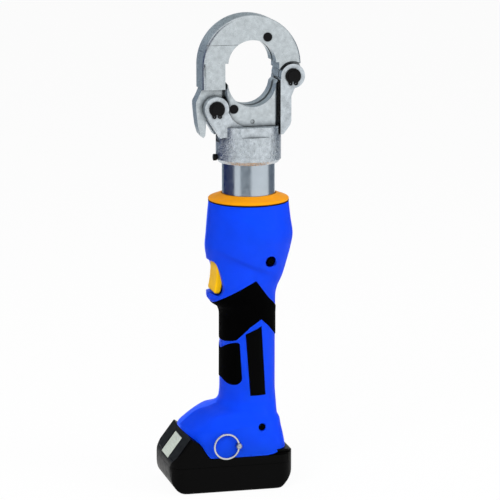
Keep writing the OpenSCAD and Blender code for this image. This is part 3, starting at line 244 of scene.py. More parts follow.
@dataclass(frozen=True)
class Finish:
    """One procedural finish: its colour, gloss, relief and unevenness."""

    name: str
    slot: str
    colour: Triple
    roughness: float
    bump: Bump = Bump.GRAIN
    cell: float = 0.5
    depth: float = 0.01
    metallic: float = 0.0
    coat: float = 0.0
    specular: float = 0.5
    tint: float = 0.06
    patch: float = 14.0
    uneven: float = 0.06
    # Share of shade painted into nooks and creases through ambient occlusion, nought for none
    painted_nook_shade: float = 0.0
    ground: float = 326.0

    def material(self) -> bpy.types.Material:
        """Give the finish's material, which is made at the first call.

        Returns:
            The material with its node tree.
        """
        made = bpy.data.materials.get(f"{self.name}_finish")
        if made is None:
            made = bpy.data.materials.new(f"{self.name}_finish")
            made.use_nodes = True
            made.diffuse_color = linear(self.colour)
            graph = Graph(made.node_tree)
            place = graph.add("TexCoord", {}, "Object")
            graph.feed(made.node_tree.nodes["Principled BSDF"], {
                "Metallic": self.metallic, "Specular IOR Level": self.specular,
                "Coat Weight": self.coat, "Coat Roughness": COAT_ROUGHNESS,
                "Base Color": self._colour(graph, place), "Roughness": self._gloss(graph, place),
                "Normal": self._relief(graph, place)})
        return made

    def _colour(self, graph: Graph, place: Socket) -> Socket:
        """Colour the surface: soft blotches from a darker to a lighter tone, and shade painted into nooks.

        Args:
            graph: the material's nodes.
            place: the coordinates that they read.

        Returns:
            The colour.
        """
        base = np.asarray(linear(self.colour)[:3])
        colour = graph.add("ValToRGB", {"Fac": graph.noise(place, self.patch, BLOTCH_OCTAVES)}, "Color")
        ends = colour.node.color_ramp.elements
        for end, at, share in zip(ends, NOISE_SPAN, (1 - self.tint, 1 + self.tint)):
            end.position = at
            end.color = (*np.clip(base * share, 0, 1), 1)
        # Painted shade: ambient occlusion within NOOK_REACH darkens nooks and creases towards a near-black
        # tone of the colour
        if self.painted_nook_shade:
            nook = graph.add("AmbientOcclusion", {"Distance": NOOK_REACH * MM}, "AO", samples=8)
            colour = graph.add("Mix", {
                "A": colour, "B": (*(base * NOOK_SHADE_TONE), 1),
                "Factor": graph.spread(nook, NOOK_SPAN, (self.painted_nook_shade, 0))}, "Result", data_type="RGBA")
        return colour

    def _gloss(self, graph: Graph, place: Socket) -> Socket:
        """Vary the roughness in streaks a few millimetres across, as handling leaves them."""
        limits = (max(GLOSSIEST, self.roughness - self.uneven), min(1.0, self.roughness + self.uneven))
        return graph.spread(graph.noise(place, self.patch * STREAK, STREAK_OCTAVES), NOISE_SPAN, limits)

    def _relief(self, graph: Graph, place: Socket) -> Socket:
        """Give the surface its fine relief through a bump of the finish's kind.

        Forge scale is noise with pits, which nearly fades out above the height where the steel is ground.

        Args:
            graph: the material's nodes.
            place: the coordinates that they read.

        Returns:
            The bumped normal.
        """
        octaves = OCTAVES.get(self.bump, 0.0)
        if self.bump is Bump.PEBBLE:
            height = graph.cells(place, self.cell, "SMOOTH_F1")
        elif self.bump is Bump.TURNED:
            drawn = graph.add("Mapping", {"Vector": place, "Scale": RING_STRETCH}, "Vector")
            height = graph.noise(drawn, self.cell, octaves)
        elif self.bump is Bump.FORGED:
            pits = graph.cells(place, self.cell * PIT_SIZE, "F1")
            scale = graph.math("MULTIPLY_ADD", pits, PIT_SHARE, graph.noise(place, self.cell, octaves))
            up = graph.add("SeparateXYZ", {"Vector": place}, "Z")
            limits = ((self.ground - GROUND_FADE) * MM, self.ground * MM)
            height = graph.math("MULTIPLY", scale, graph.spread(up, limits, (1, GROUND_RELIEF)))
        else:
            height = graph.noise(place, self.cell, octaves)
        return graph.add("Bump", {"Distance": self.depth * MM, "Height": height}, "Normal")


class Palette:
    """Every finish of the tool, by the piece or stock that shows it."""

    shell = Finish("shell_blue", "blue_plastic", (10, 82, 255), 0.5, cell=0.45, depth=0.006, tint=0.04,
                   specular=0.2)
    rubber = Finish("grip_rubber", "black_rubber", (1, 1, 1), 0.8, Bump.PEBBLE, cell=0.9, depth=0.04,
                    specular=0.02, tint=0.2)
    plate = Finish("plate_black", "black_plastic", (1, 1, 1), 0.5, cell=0.3, depth=0.004, specular=0.03,
                   tint=0.1)
    pack = Finish("pack_black", "black_plastic", (1, 1, 1), 0.38, specular=0.06, tint=0.15)
    button = Finish("button_grey", "grey_plastic", (184, 192, 182), 0.5, cell=0.4, depth=0.006)
    trigger = Finish("trigger_yellow", "yellow_plastic", (230, 178, 8), 0.45, cell=0.45, depth=0.006,
                     specular=0.12)
    amber = Finish("ring_amber", "amber_plastic", (214, 138, 2), 0.5, cell=0.6, depth=0.003, specular=0.15)
    plated = Finish("plated_steel", "plated_steel", (195, 203, 207), 0.33, Bump.FORGED, cell=1.9,
                    depth=0.3, metallic=1.0, tint=0.12, patch=4.0, uneven=0.1, painted_nook_shade=0.8, ground=0.0)
    forged = Finish("forged_steel", "plated_steel", (195, 203, 209), 0.32, Bump.FORGED, cell=1.7,
                    depth=0.45, metallic=1.0, tint=0.2, patch=4.0, uneven=0.1, painted_nook_shade=0.7)
    carrier = Finish("ground_steel", "plated_steel", (197, 205, 209), 0.36, Bump.FORGED, cell=1.5,
                     depth=0.2, metallic=1.0, tint=0.12, patch=4.0, uneven=0.1, painted_nook_shade=0.8, ground=0.0)
    turned = Finish("turned_steel", "bright_steel", (184, 194, 203), 0.22, Bump.TURNED, cell=0.12,
                    depth=0.002, metallic=1.0, tint=0.03, uneven=0.04)
    bright = Finish("bright_steel", "bright_steel", (205, 206, 206), 0.25, Bump.SATIN, cell=0.6,
                    depth=0.004, metallic=1.0)
    oxide = Finish("black_oxide", "black_steel", (4, 4, 5), 0.5, Bump.SATIN, cell=0.7, specular=0.15,
                   tint=0.2)
    zinc = Finish("zinc_plate", "zinc_steel", (178, 181, 184), 0.3, Bump.SATIN, cell=0.8, depth=0.006,
                  metallic=1.0)
    spring = Finish("spring_wire", "spring_steel", (150, 151, 153), 0.3, Bump.SATIN, cell=0.4,
                    depth=0.003, metallic=1.0)
    casting = Finish("cast_aluminium", "cast_aluminium", (186, 188, 190), 0.42, Bump.SATIN, cell=1.2,
                     depth=0.02, metallic=1.0)
    bronze = Finish("guide_bronze", "bronze", (190, 142, 72), 0.3, Bump.TURNED, cell=0.15, depth=0.003,
                    metallic=1.0)
    brass = Finish("contact_brass", "contact_brass", (222, 188, 108), 0.24, Bump.SATIN, depth=0.003,
                   metallic=1.0)
    copper = Finish("rotor_copper", "copper_wound", (188, 120, 72), 0.35, Bump.TURNED, cell=0.4,
                    depth=0.02, metallic=1.0)
    magnet = Finish("sintered_magnet", "magnet", (70, 70, 74), 0.55, Bump.SATIN, cell=0.6, metallic=0.6)
    board = Finish("board_green", "board_green", (26, 92, 46), 0.4, cell=0.8, depth=0.004)
    sleeve = Finish("cell_sleeve", "cell_wrap", (34, 112, 70), 0.3, cell=1.0, depth=0.004, coat=0.2)
    lead = Finish("lead_red", "lead_red", (172, 24, 24), 0.45, cell=0.6, depth=0.004)
    lens = Finish("light_lens", "light_lens", (24, 30, 78), 0.12, cell=0.8, depth=0.002, coat=0.6)


def linked(name: str, data: bpy.types.ID) -> Piece:
    """Put a mesh, a lamp or a camera into the scene as a new object at the origin."""
    bpy.context.scene.collection.objects.link(made := bpy.data.objects.new(name, data))
    return made


@dataclass
class Shape:
    """A mesh in the making: points in millimetres and faces that list them."""

    points: Array
    faces: Faces

    def outward(self) -> "Shape":
        """Turn all faces round where the closed shape's signed volume is negative.

        Returns:
            The same shape with its faces pointing outwards.
        """
        fans = [(face[0], a, b) for face in self.faces for a, b in zip(face[1:-1], face[2:])]
        tri = self.points[np.asarray(fans)]
        if np.einsum("ij,ij->i", tri[:, 0], np.cross(tri[:, 1], tri[:, 2])).sum() < 0:
            self.faces = [face[::-1] for face in self.faces]
        return self

    def object(self, name: str) -> Piece:
        """Write the shape into a new object at the origin.

        Args:
            name: the object's name.

        Returns:
            The object, linked into the scene.
        """
        mesh = bpy.data.meshes.new(name)
        mesh.from_pydata((self.points * MM).tolist(), [], self.faces)
        mesh.update()
        return linked(name, mesh)


def grid_faces(rows: int, cols: int, wrap_rows: bool = False, wrap_cols: bool = False) -> Faces:
    """List the quads of a grid of points, row by row.

    Args:
        rows: points along the first parameter.
        cols: points along the second parameter.
        wrap_rows: whether the last row joins the first.
        wrap_cols: whether the last column joins the first.

    Returns:
        Four point numbers for each quad.
    """
    i, j = np.meshgrid(np.arange(rows if wrap_rows else rows - 1),
                       np.arange(cols if wrap_cols else cols - 1), indexing="ij")
    k = (i + 1) % rows
    m = (j + 1) % cols
    return np.stack([i * cols + j, i * cols + m, k * cols + m, k * cols + j], -1).reshape(-1, 4).tolist()


def loft(rings: Array) -> Shape:
    """Close a stack of rings of equal length with quads between them and a flat face at each end.

    Args:
        rings: points by ring, place on the ring, and X, Y, Z.

    Returns:
        The closed shape.
    """
    rows, cols = rings.shape[:2]
    ends = [list(range(cols))[::-1], list(range((rows - 1) * cols, rows * cols))]
    return Shape(rings.reshape(-1, 3), grid_faces(rows, cols, False, True) + ends).outward()


def lathe(profile: Array, steps: int = 128) -> Shape:
    """Turn a closed outline round Z: x = r cos a, y = r sin a, with r and z along the outline.

    Args:
        profile: radius and height of each point of the closed outline.
        steps: points round the axis.

    Returns:
        The closed ring-shaped solid.
    """
    a = around(steps)[:, None]
    r, z = profile.T[:, None]
    points = np.stack(np.broadcast_arrays(r * np.cos(a), r * np.sin(a), z), -1)
    return Shape(points.reshape(-1, 3), grid_faces(steps, len(profile), True, True)).outward()


def inset(outline: Array, distance: float) -> Array:
    """Move a closed outline inwards: each point goes along the mean of its two edges' normals.

    Args:
        outline: points of the outline, counter-clockwise.
        distance: how far the edges move in.

    Returns:
        The moved points.
    """
    edge = np.roll(outline, -1, 0) - outline
    edge /= np.maximum(np.linalg.norm(edge, axis=1, keepdims=True), TINY)
    normal = np.stack([-edge[:, 1], edge[:, 0]], -1)
    before = np.roll(normal, 1, 0)
    share = np.maximum(1 + np.einsum("ij,ij->i", normal, before), MITRE)
    return outline + distance * (normal + before) / share[:, None]


def plate(outline: Array, low: float, high: float, rounding: float = 0.0) -> Shape:
    """Carry an outline in X and Z along Y, with its rims rounded by a quarter circle.

    Args:
        outline: X and Z of the closed outline.
        low: lowest Y.
        high: highest Y.
        rounding: radius of the rounded rims.

    Returns:
        The closed plate.
    """
    x, z = outline.T
    turn = np.sum(x * np.roll(z, -1) - np.roll(x, -1) * z)
    loop = outline if turn > 0 else outline[::-1]
    phi = np.linspace(0, np.pi / 2, RIM_ROWS + 1) if rounding else np.array([np.pi / 2])
    depth = rounding * (1 - np.cos(phi))
    move = rounding * (1 - np.sin(phi))
    levels = np.concatenate([low + depth, (high - depth)[::-1]])
    moves = np.concatenate([move, move[::-1]])
    return loft(np.stack([np.insert(inset(loop, by), 1, y, axis=1) for by, y in zip(moves, levels)]))


def rod(radius: float, low: float, high: float, x: float, z: float) -> Shape:
    """A round rod along Y."""
    a = around(64)
    return plate(np.column_stack([x + radius * np.cos(a), z + radius * np.sin(a)]), low, high)


def block(low: Triple, high: Triple) -> Shape:
    """A plain box between two corners, used only as a cutter."""
    corners = np.array([[low[0], low[2]], [high[0], low[2]], [high[0], high[2]], [low[0], high[2]]])
    return plate(corners, low[1], high[1])


def curve_through(points: Array, steps: int = 6) -> Array:
    """Sample a smooth open curve through points: a cubic on each span, with tangents from both neighbours.

    Args:
        points: points of the curve.
        steps: samples on each span.

    Returns:
        The sampled points, ending at the last one.
    """
    tangent = np.gradient(points, axis=0)
    t = np.linspace(0, 1, steps, endpoint=False)[None, :, None]
    p0, p1 = points[:-1, None], points[1:, None]
    m0, m1 = tangent[:-1, None], tangent[1:, None]
    spans = ((2 * t**3 - 3 * t**2 + 1) * p0 + (t**3 - 2 * t**2 + t) * m0
             + (3 * t**2 - 2 * t**3) * p1 + (t**3 - t**2) * m1)
    return np.vstack([spans.reshape(-1, points.shape[1]), points[-1:]])


def moved(knots: Table, origin: Pair, by: float) -> Array:
    """Place knots, X and Z, at an origin and move each by its shares of a distance, columns 3 and 4."""
    table = np.asarray(knots)
    return table[:, :2] + origin + by * table[:, 2:]


def eased(corners: Array, count: int, ease: float) -> Array:
    """Space points evenly on a closed outline and soften its corners by a Gaussian mean along it.

    Args:
        corners: the outline's corners.
        count: points on the result.
        ease: standard deviation of the mean, in millimetres along the outline.

    Returns:
        The softened outline.
    """
    loop = np.vstack([corners, corners[:1]])
    run = np.concatenate([[0], np.cumsum(np.linalg.norm(np.diff(loop, axis=0), axis=1))])
    at = np.linspace(0, run[-1], count, endpoint=False)
    even = np.column_stack([np.interp(at, run, loop[:, 0]), np.interp(at, run, loop[:, 1])])
    wave = np.fft.fftfreq(count, run[-1] / count)[:, None]
    return np.fft.ifft(np.fft.fft(even, axis=0) * np.exp(-2 * (np.pi * wave * ease) ** 2), axis=0).real


def settle(piece: Piece) -> None:
    """Apply a piece's modifiers to its mesh.

    Args:
        piece: the piece with live modifiers.
    """
    view = bpy.context.evaluated_depsgraph_get()
    mesh = bpy.data.meshes.new_from_object(piece.evaluated_get(view))
    old = piece.data
    piece.modifiers.clear()
    piece.data = mesh
    bpy.data.meshes.remove(old)


def work(piece: Piece, cut: Cut, tools: list[Shape | Piece]) -> Piece:
    """Work solids into or out of a piece one after another, and remove them afterwards.

    Args:
        piece: the piece that is worked on.
        cut: whether the solids are added, taken away or kept in common.
        tools: the solids.

    Returns:
        The worked piece.
    """
    made = [tool.object(f"{piece.name}_tool") if isinstance(tool, Shape) else tool for tool in tools]
    for tool in made:
        step = piece.modifiers.new("work", "BOOLEAN")
        step.operation = cut.value
        step.solver = "EXACT"
        step.object = tool
    settle(piece)
    for tool in made:
        mesh = tool.data
        bpy.data.objects.remove(tool)
        bpy.data.meshes.remove(mesh)
    return piece


def soften(piece: Piece, width: float, angle: float) -> None:
    """Round the sharp edges of a piece by a small bevel.

    Args:
        piece: the piece.
        width: width of the bevel in millimetres.
        angle: smallest angle in degrees of an edge that is rounded.
    """
    bevel = piece.modifiers.new("edges", "BEVEL")
    bevel.width = width * MM
    bevel.segments = 2
    bevel.limit_method = "ANGLE"
    bevel.angle_limit = math.radians(angle)
    settle(piece)


def shade(piece: Piece, angle: float, flat: bool = False) -> Piece:
    """Shade a piece smoothly, but for edges sharper than an angle.

    Args:
        piece: the piece.
        angle: the angle in degrees.
        flat: whether large faces keep their own normal, so that only the rounded edges look rounded.

    Returns:
        The piece.
    """
    mesh = piece.data
    mesh.polygons.foreach_set("use_smooth", np.ones(len(mesh.polygons), bool))
    mesh.set_sharp_from_angle(angle=math.radians(angle))
    mesh.update()
    if flat:
        step = piece.modifiers.new("normals", "WEIGHTED_NORMAL")
        step.mode = "FACE_AREA"
        step.weight = 100
        step.keep_sharp = True
        settle(piece)
    return piece


def place(piece: Piece, body: str, finish: Finish, *nodes: str) -> None:
    """Dress a finished piece and set it on its body in place of CAD nodes.

    Args:
        piece: the piece, at the origin.
        body: the body that it rides on.
        finish: its finish.
        nodes: the CAD nodes that it stands for.
    """
    piece.data.materials.clear()
    piece.data.materials.append(finish.material())
    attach(piece, body)
    if nodes:
        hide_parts(*nodes)
    LOG.info("%s on %s: %d faces", piece.name, body, len(piece.data.polygons))


def body_of_node(node: str) -> str:
    """The body that a CAD node belongs to."""
    return frame["nodes"][node]["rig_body"]


def dressed_copy(node: str, finish: Finish, width: float) -> Piece:
    """Copy a CAD node, join its loose triangles, round its edges and put the copy in its place.

    Args:
        node: the CAD node's name.
        finish: the copy's finish.
        width: width of the rounded edges in millimetres, or zero.

    Returns:
        The copy.
    """
    mesh = frame["nodes"][node].data.copy()
    mesh.name = f"{node}_dressed"
    joined = bmesh.new()
    joined.from_mesh(mesh)
    bmesh.ops.remove_doubles(joined, verts=joined.verts, dist=SAME_POINT)
    bmesh.ops.dissolve_limit(joined, angle_limit=math.radians(FLAT_ANGLE), verts=joined.verts,
                             edges=joined.edges)
    joined.to_mesh(mesh)
    joined.free()
    piece = linked(f"{node}_dressed", mesh)
    if width:
        soften(piece, width, EDGE_ANGLE)
    place(shade(piece, EDGE_ANGLE, True), body_of_node(node), finish, node)
    return piece


@dataclass(frozen=True)
class Step:
    """A moulded step along a line seen from the side, where the skin is sunk above (1) or below (-1) it."""

    start: Pair
    end: Pair
    sunk: int
    depth: float
    lip: float
    run: float


@dataclass(frozen=True)
class Cover:
    """A thin cover on the skin: its span from the rear in degrees, rows and columns, thickness and rim."""

    span: Pair
    grid: tuple[int, int]
    thick: float = 0.6
    rim: float = 1.6
    lift: float = 0.1
    sink: float = 0.6
    bunch: float = 0.55

    def angles(self) -> Array:
        """Angle of each column in radians."""
        return np.radians(np.linspace(*self.span, self.grid[1]))


@dataclass
class Handle:
    """The blue handle shell with its soft grips, name plate and collar ring.

    Each row of chin_knots and notch_knots is X, Z and the shares by which they move with a wall.
    Each row of screws is X, Z and the recess's radius.
    """

    foot_front: float = 65.0
    foot_back: float = 28.0
    foot_half: float = 37.8
    foot_z: float = 71.5
    grip_front: float = 26.6
    grip_back: float = 23.8
    grip_half: float = 25.6
    grip_top: float = 160.0
    grip_square: float = 2.1
    hook_front: float = 38.8
    barrel_r: float = 39.9
    barrel_z: float = 231.0
    seam_z: float = 262.0
    ring_r: float = 36.2
    ring_h: float = 6.4
    ring_bore: float = 24.4
    ring_neck: float = 8.0
    ring_gap: float = 0.6
    skirt_z: float = 32.2
    floor_t: float = 2.5
    wall: float = 2.3
    overlap: float = 0.01
    overrun: float = 5.0
    shade_angle: float = 38.0
    sides: int = 200
    row: float = 1.2
    least_rows: int = 5
    inner_grid: tuple[int, int] = (70, 72)
    chin_knots: Table = (
        (-16.5, 22.5, 0, 1), (-2.5, 18.0, 0, 1), (6.0, 13.3, 0, 1), (12.5, 7.8, 0.5, 1), (17.0, 0.5, 1, 0),
        (19.5, -3.1, 1, 0), (21.5, -4.6, 1, 0))
    notch_knots: Table = (
        (-26.5, 5.2, 0, 1), (-10.0, 4.6, 0, 1), (-5.3, 3.2, 1, 1), (-2.2, -2.5, 1, 0), (0.7, -13.1, 1, 0),
        (1.8, -20.5, 1, 0), (0.6, -25.0, 1, -0.5), (-3.0, -27.1, 0, -1), (-9.8, -24.8, 0, -1),
        (-26.5, -22.0, 0, -1))
    slot_half: float = 14.2
    slot_knots: Table = (
        (-16.0, 4.2), (6.0, 4.2), (8.0, -8.0), (8.0, -24.5), (4.5, -27.2), (-3.0, -27.4), (-16.0, -23.4))
    rise_knots: Table = ((4.0, 30.0), (9.0, 32.2), (15.0, 33.2), (22.5, 35.4), (34.0, 36.6))
    deck_half: float = 35.6
    deck_front: float = 10.0
    eye: Pair = (-18.4, 43.0)
    eye_bores: Table = ((1.95, -30.0), (3.1, -36.05))
    screws: Table = ((12.6, 210.2, 5.2), (4.2, 58.0, 3.6))
    screw_sink: float = 3.2
    boss_wall: float = 1.2
    boss_end: float = -8.0
    contacts: Table = ((-20.0, 10.0), (-8.7, 8.7), (-5.0, 5.0))
    light_r: float = 2.5
    light_x: float = 10.0
    light_sides: int = 48
    light_z: float = 42.7
    facet_lean: Triple = (-0.6, 0.26, 0.76)
    facet_at: float = 81.0
    facet_share: float = 0.42
    facet_top: float = 84.0
    steps: tuple[Step, ...] = (
        Step((-33.6, 253.2), (22.0, 238.6), 1, 1.6, 5.0, 26.0),
        Step((-46.4, 224.9), (16.0, 198.5), -1, 2.6, 2.2, 24.0),
        Step((-50.6, 55.6), (15.3, 62.8), 1, 1.3, 2.5, 14.0))
    step_in: Pair = (-8.0, 6.0)
    step_out: Pair = (-14.0, 10.0)
    step_side: float = 1.5
    band: Cover = Cover((1.2, 178.8), (60, 140))
    band_top: Table = ((-38.0, 5.0), (-30.0, 7.0), (-9.0, 23.0), (1.6, 32.2), (9.2, 23.0), (24.3, 3.0))
    band_low: Table = ((-38.0, -26.0), (-26.6, -26.0), (-17.0, -23.5), (-4.7, -11.0), (5.8, -4.2),
                       (13.2, -11.0), (24.3, -24.0))
    pad: Cover = Cover((113.3, 178.8), (40, 80))
    pad_z: Pair = (-61.0, -33.5)
    pad_bulge: float = 4.0
    pad_rise: float = 8.0
    pad_turn: float = 5.0
    pad_corner: Pair = (4.5, -2.5)
    pad_round: float = 0.2
    pad_start: float = 0.15
    pad_crown: float = 0.4
    plate: Cover = Cover((64.0, 96.2), (60, 48), 0.5, 0.6)
    plate_z: Pair = (-74.5, -10.5)
    plate_fall: float = 7.0
    plate_turn: float = 10.0

    def stations(self) -> Array:
        """Tabulate the handle's sections from the foot up.

        Returns:
            Height, front reach, rear reach, half width and squareness of each section.
        """
        ft, fb, fh, fz, gt = self.foot_front, self.foot_back, self.foot_half, self.foot_z, self.grip_top
        gf, gb, gh, gs = self.grip_front, self.grip_back, self.grip_half, self.grip_square
        br, bz, hook, tz = self.barrel_r, self.barrel_z, self.hook_front, TRIGGER_PIN[1]
        return np.array([
            [self.skirt_z, ft - 5.5, fb + 2, fh, 5],
            [self.skirt_z + 13, ft - 1.5, fb + 0.6, fh - 0.3, 4.2],
            [fz - 16, ft, fb - 0.8, fh - 1, 3.3],
            [fz - 10.5, ft - 4.5, fb - 1.4, fh - 1.8, 3],
            [fz - 6, ft - 9.5, gb + 0.9, fh - 3.3, 2.7],
            [fz - 2, ft - 16, gb + 0.8, fh - 5.5, 2.5],
            [fz + 1, gf + 8.5, gb + 0.7, gh + 3.8, 2.4],
            [fz + 4, gf + 3.2, gb + 0.7, gh + 2.2, 2.3],
            [fz + 9, gf + 0.8, gb + 0.5, gh + 0.8, 2.15],
            [fz + 19, gf, gb, gh, gs],
            [gt - 3, gf - 0.3, gb, gh, gs],
            [gt + 4, gf + 1.6, gb + 0.3, gh + 0.2, gs],
            [gt + 9, (gf + hook) / 2 + 2, gb + 0.4, gh + 0.6, gs],
            [gt + 15, hook, gb + 0.6, gh + 1, gs],
            [gt + 22, hook, gb + 2, gh + 2.4, gs],
            [gt + 32, hook - 0.2, gb + 6.4, gh + 5.4, gs],
            [tz + 2, hook - 0.4, br - 5.2, br - 5.6, 2.05],
            [tz + 15.5, br, br - 1.6, br - 2.2, 2],
            [bz, br - 1, br + 0.2, br - 0.9, 2],
            [bz + 14, br - 2.1, br - 1.7, br - 2, 2],
            [self.seam_z, self.ring_r, self.ring_r, self.ring_r, 2]])

    def reach(self, z: Array) -> Array:
        """Read the stations at heights, along a monotone cubic through them.

        Args:
            z: heights.

        Returns:
            Front reach, rear reach, half width and squareness for each height, last axis.
        """
        table = self.stations()
        knots, values = table[:, 0], table[:, 1:]
        gap = np.diff(knots)[:, None]
        rise = np.diff(values, axis=0) / gap
        product = rise[:-1] * rise[1:]
        total = np.where(product > 0, rise[:-1] + rise[1:], 1.0)
        inner = np.where(product > 0, 2 * product / total, 0.0)
        bend = np.vstack([rise[:1], inner, rise[-1:]])
        z = np.clip(z, knots[0], knots[-1])
        k = np.clip(np.searchsorted(knots, z, side="right") - 1, 0, len(knots) - 2)
        h = gap[k]
        u = ((z - knots[k])[..., None]) / h
        return ((1 + 2 * u) * (1 - u) ** 2 * values[k] + u * (1 - u) ** 2 * h * bend[k]
                + u * u * (3 - 2 * u) * values[k + 1] + u * u * (u - 1) * h * bend[k + 1])

    def relief(self, x: Array, z: Array) -> Array:
        """Moulded steps on both sides, along straight lines seen from the side.

        With t the distance from a step's line on its sunk side, the skin lies deeper there by
        depth * (1 - exp(-t / lip)) * exp(-(t / run)^2), faded in and out along X.

        Args:
            x: distance along X.
            z: heights.

        Returns:
            How far the skin stands out, which is never above nought.
        """
        total = np.zeros(np.broadcast(x, z).shape)
        for step in self.steps:
            (x0, z0), (x1, z1) = step.start, step.end
            t = np.maximum(step.sunk * (z - (z0 + (z1 - z0) * (x - x0) / (x1 - x0))), 0)
            fade = (smoothstep(x0 + self.step_in[0], x0 + self.step_in[1], x)
                    * (1 - smoothstep(x1 + self.step_out[0], x1 + self.step_out[1], x)))
            total = total - step.depth * fade * (1 - np.exp(-t / step.lip)) * np.exp(-((t / step.run) ** 2))
        return total

    def skin(self, z: Array, angle: Array, out: Array | float,
             ridges: bool = True) -> Array:
        """Points on the handle: a superellipse of the station's reaches, moved out by a distance.

        What lies beyond the facet's plane is drawn back towards it by a share of its distance.

        Args:
            z: heights.
            angle: angles in radians from the rear.
            out: distance outwards.
            ridges: whether the moulded steps are added.

        Returns:
            X, Y and Z, last axis.
        """
        z, angle, out = np.broadcast_arrays(z, angle, out)
        front, back, half, square = np.moveaxis(self.reach(z), -1, 0)
        across = squared(np.sin(angle), square)
        x = (back - front) / 2 + ((front + back) / 2 + out) * squared(np.cos(angle), square)
        y = (half + out) * across
        if ridges:
            y = y + self.relief(x, z) * np.abs(across) ** self.step_side * np.sign(across)
        lean = np.asarray(self.facet_lean) / np.linalg.norm(self.facet_lean)
        over = x * lean[0] + np.abs(y) * lean[1] + z * lean[2] - self.facet_at - out
        back_by = self.facet_share * np.where(z < self.facet_top, np.maximum(over, 0), 0)
        side = np.stack([np.ones_like(y), np.sign(y), np.ones_like(y)], -1)
        return np.stack([x, y, z], -1) - back_by[..., None] * lean * side

    def screw_floor(self, x: float, z: float) -> float:
        """Find the floor of a screw's recess in the plain skin of the left side.

        Args:
            x: the screw's place along X.
            z: its height.

        Returns:
            Y of the floor.
        """
        front, back, half, square = self.reach(np.array(z))
        share = abs(x - (back - front) / 2) / ((front + back) / 2)
        return self.screw_sink - float(half * (1 - share**square) ** (1 / square))

    def chin(self, wall: float) -> Array:
        """The foot's lower front edge seen from the side, moved up by a wall, as a smooth curve."""
        return curve_through(moved(self.chin_knots, (-self.foot_front, DECK_FLOOR), wall), 8)

    def openings(self, wall: float) -> list[Shape]:
        """Cutters for the battery's hump, its sliding deck and the trigger's window.

        Args:
            wall: how far they are moved into the shell.

        Returns:
            The three cutters.
        """
        curve = self.chin(wall)
        hump = np.vstack([curve, [[curve[-1, 0], UNDER], [-FAR_X, UNDER], [-FAR_X, FAR_Z]]])
        deck = block((self.deck_front - self.foot_front, -self.deck_half, UNDER),
                     (FAR_Y, self.deck_half, DECK_FLOOR + wall))
        notch = curve_through(moved(self.notch_knots, TRIGGER_PIN, wall))
        return [plate(hump, -FAR_Y, FAR_Y), deck, plate(notch, -FAR_Y, FAR_Y)]

    def holes(self) -> list[Shape]:
        """Cutters for the trigger's slot, the rising rear edge, the recesses and the terminals' opening.

        Returns:
            The cutters.
        """
        rise = curve_through(np.asarray(self.rise_knots))
        under = [[FAR_Y, rise[-1, 1]], [FAR_Y, UNDER], [rise[0, 0], UNDER]]
        low, high = np.transpose(self.contacts) + [0, 0, DECK_FLOOR]
        light = lathe(np.array([[AXIS, self.light_x], [self.light_r, self.light_x], [self.light_r, FAR_Y],
                                [AXIS, FAR_Y]]), self.light_sides)
        light.points = light.points[:, [2, 1, 0]] + np.array([0, 0, self.light_z])
        return [plate(np.asarray(self.slot_knots) + TRIGGER_PIN, -self.slot_half, self.slot_half),
                plate(np.vstack([rise, under]), -FAR_Y, FAR_Y),
                *(rod(r, -FAR_Y, self.screw_floor(x, z), x, z) for x, z, r in self.screws),
                *(rod(r, -FAR_Y, end, *self.eye) for r, end in self.eye_bores),
                block(low, high), light.outward()]

    def shells(self) -> None:
        """Build both halves of the shell: the lofted skin, hollowed, cut out and parted at the seam."""
        levels = self.stations()[:, 0]
        z = np.unique(np.concatenate([np.linspace(a, b, max(self.least_rows, int((b - a) / self.row)))
                                      for a, b in zip(levels[:-1], levels[1:])]))
        whole = loft(self.skin(z[:, None], around(self.sides)[None, :], 0.0)).object("shell_whole")
        z = np.linspace(self.skirt_z - self.overrun, self.seam_z + self.overrun, self.inner_grid[0])
        inner = self.skin(z[:, None], around(self.inner_grid[1])[None, :], -self.wall, False)
        hump, deck = self.openings(self.floor_t)[:2]
        hollow = work(loft(inner).object("hollow"), Cut.DIFFERENCE,
                      [hump, deck, self.openings(self.wall)[2]])
        work(whole, Cut.DIFFERENCE, [hollow])
        work(whole, Cut.UNION, [rod(r + self.boss_wall, self.screw_floor(x, z), self.boss_end, x, z)
                                for x, z, r in self.screws])
        work(whole, Cut.DIFFERENCE, [*self.openings(0), *self.holes()])
        for side, word in SIDES:
            half = linked(f"housing_{word}_shell", whole.data.copy())
            low, high = sorted((side * self.overlap, -side * FAR_X))
            work(half, Cut.DIFFERENCE, [block((-FAR_X, low, UNDER), (FAR_X, high, FAR_TOP))])
            place(shade(half, self.shade_angle), "handle", Palette.shell, f"housing_{word}")
        bpy.data.objects.remove(whole)

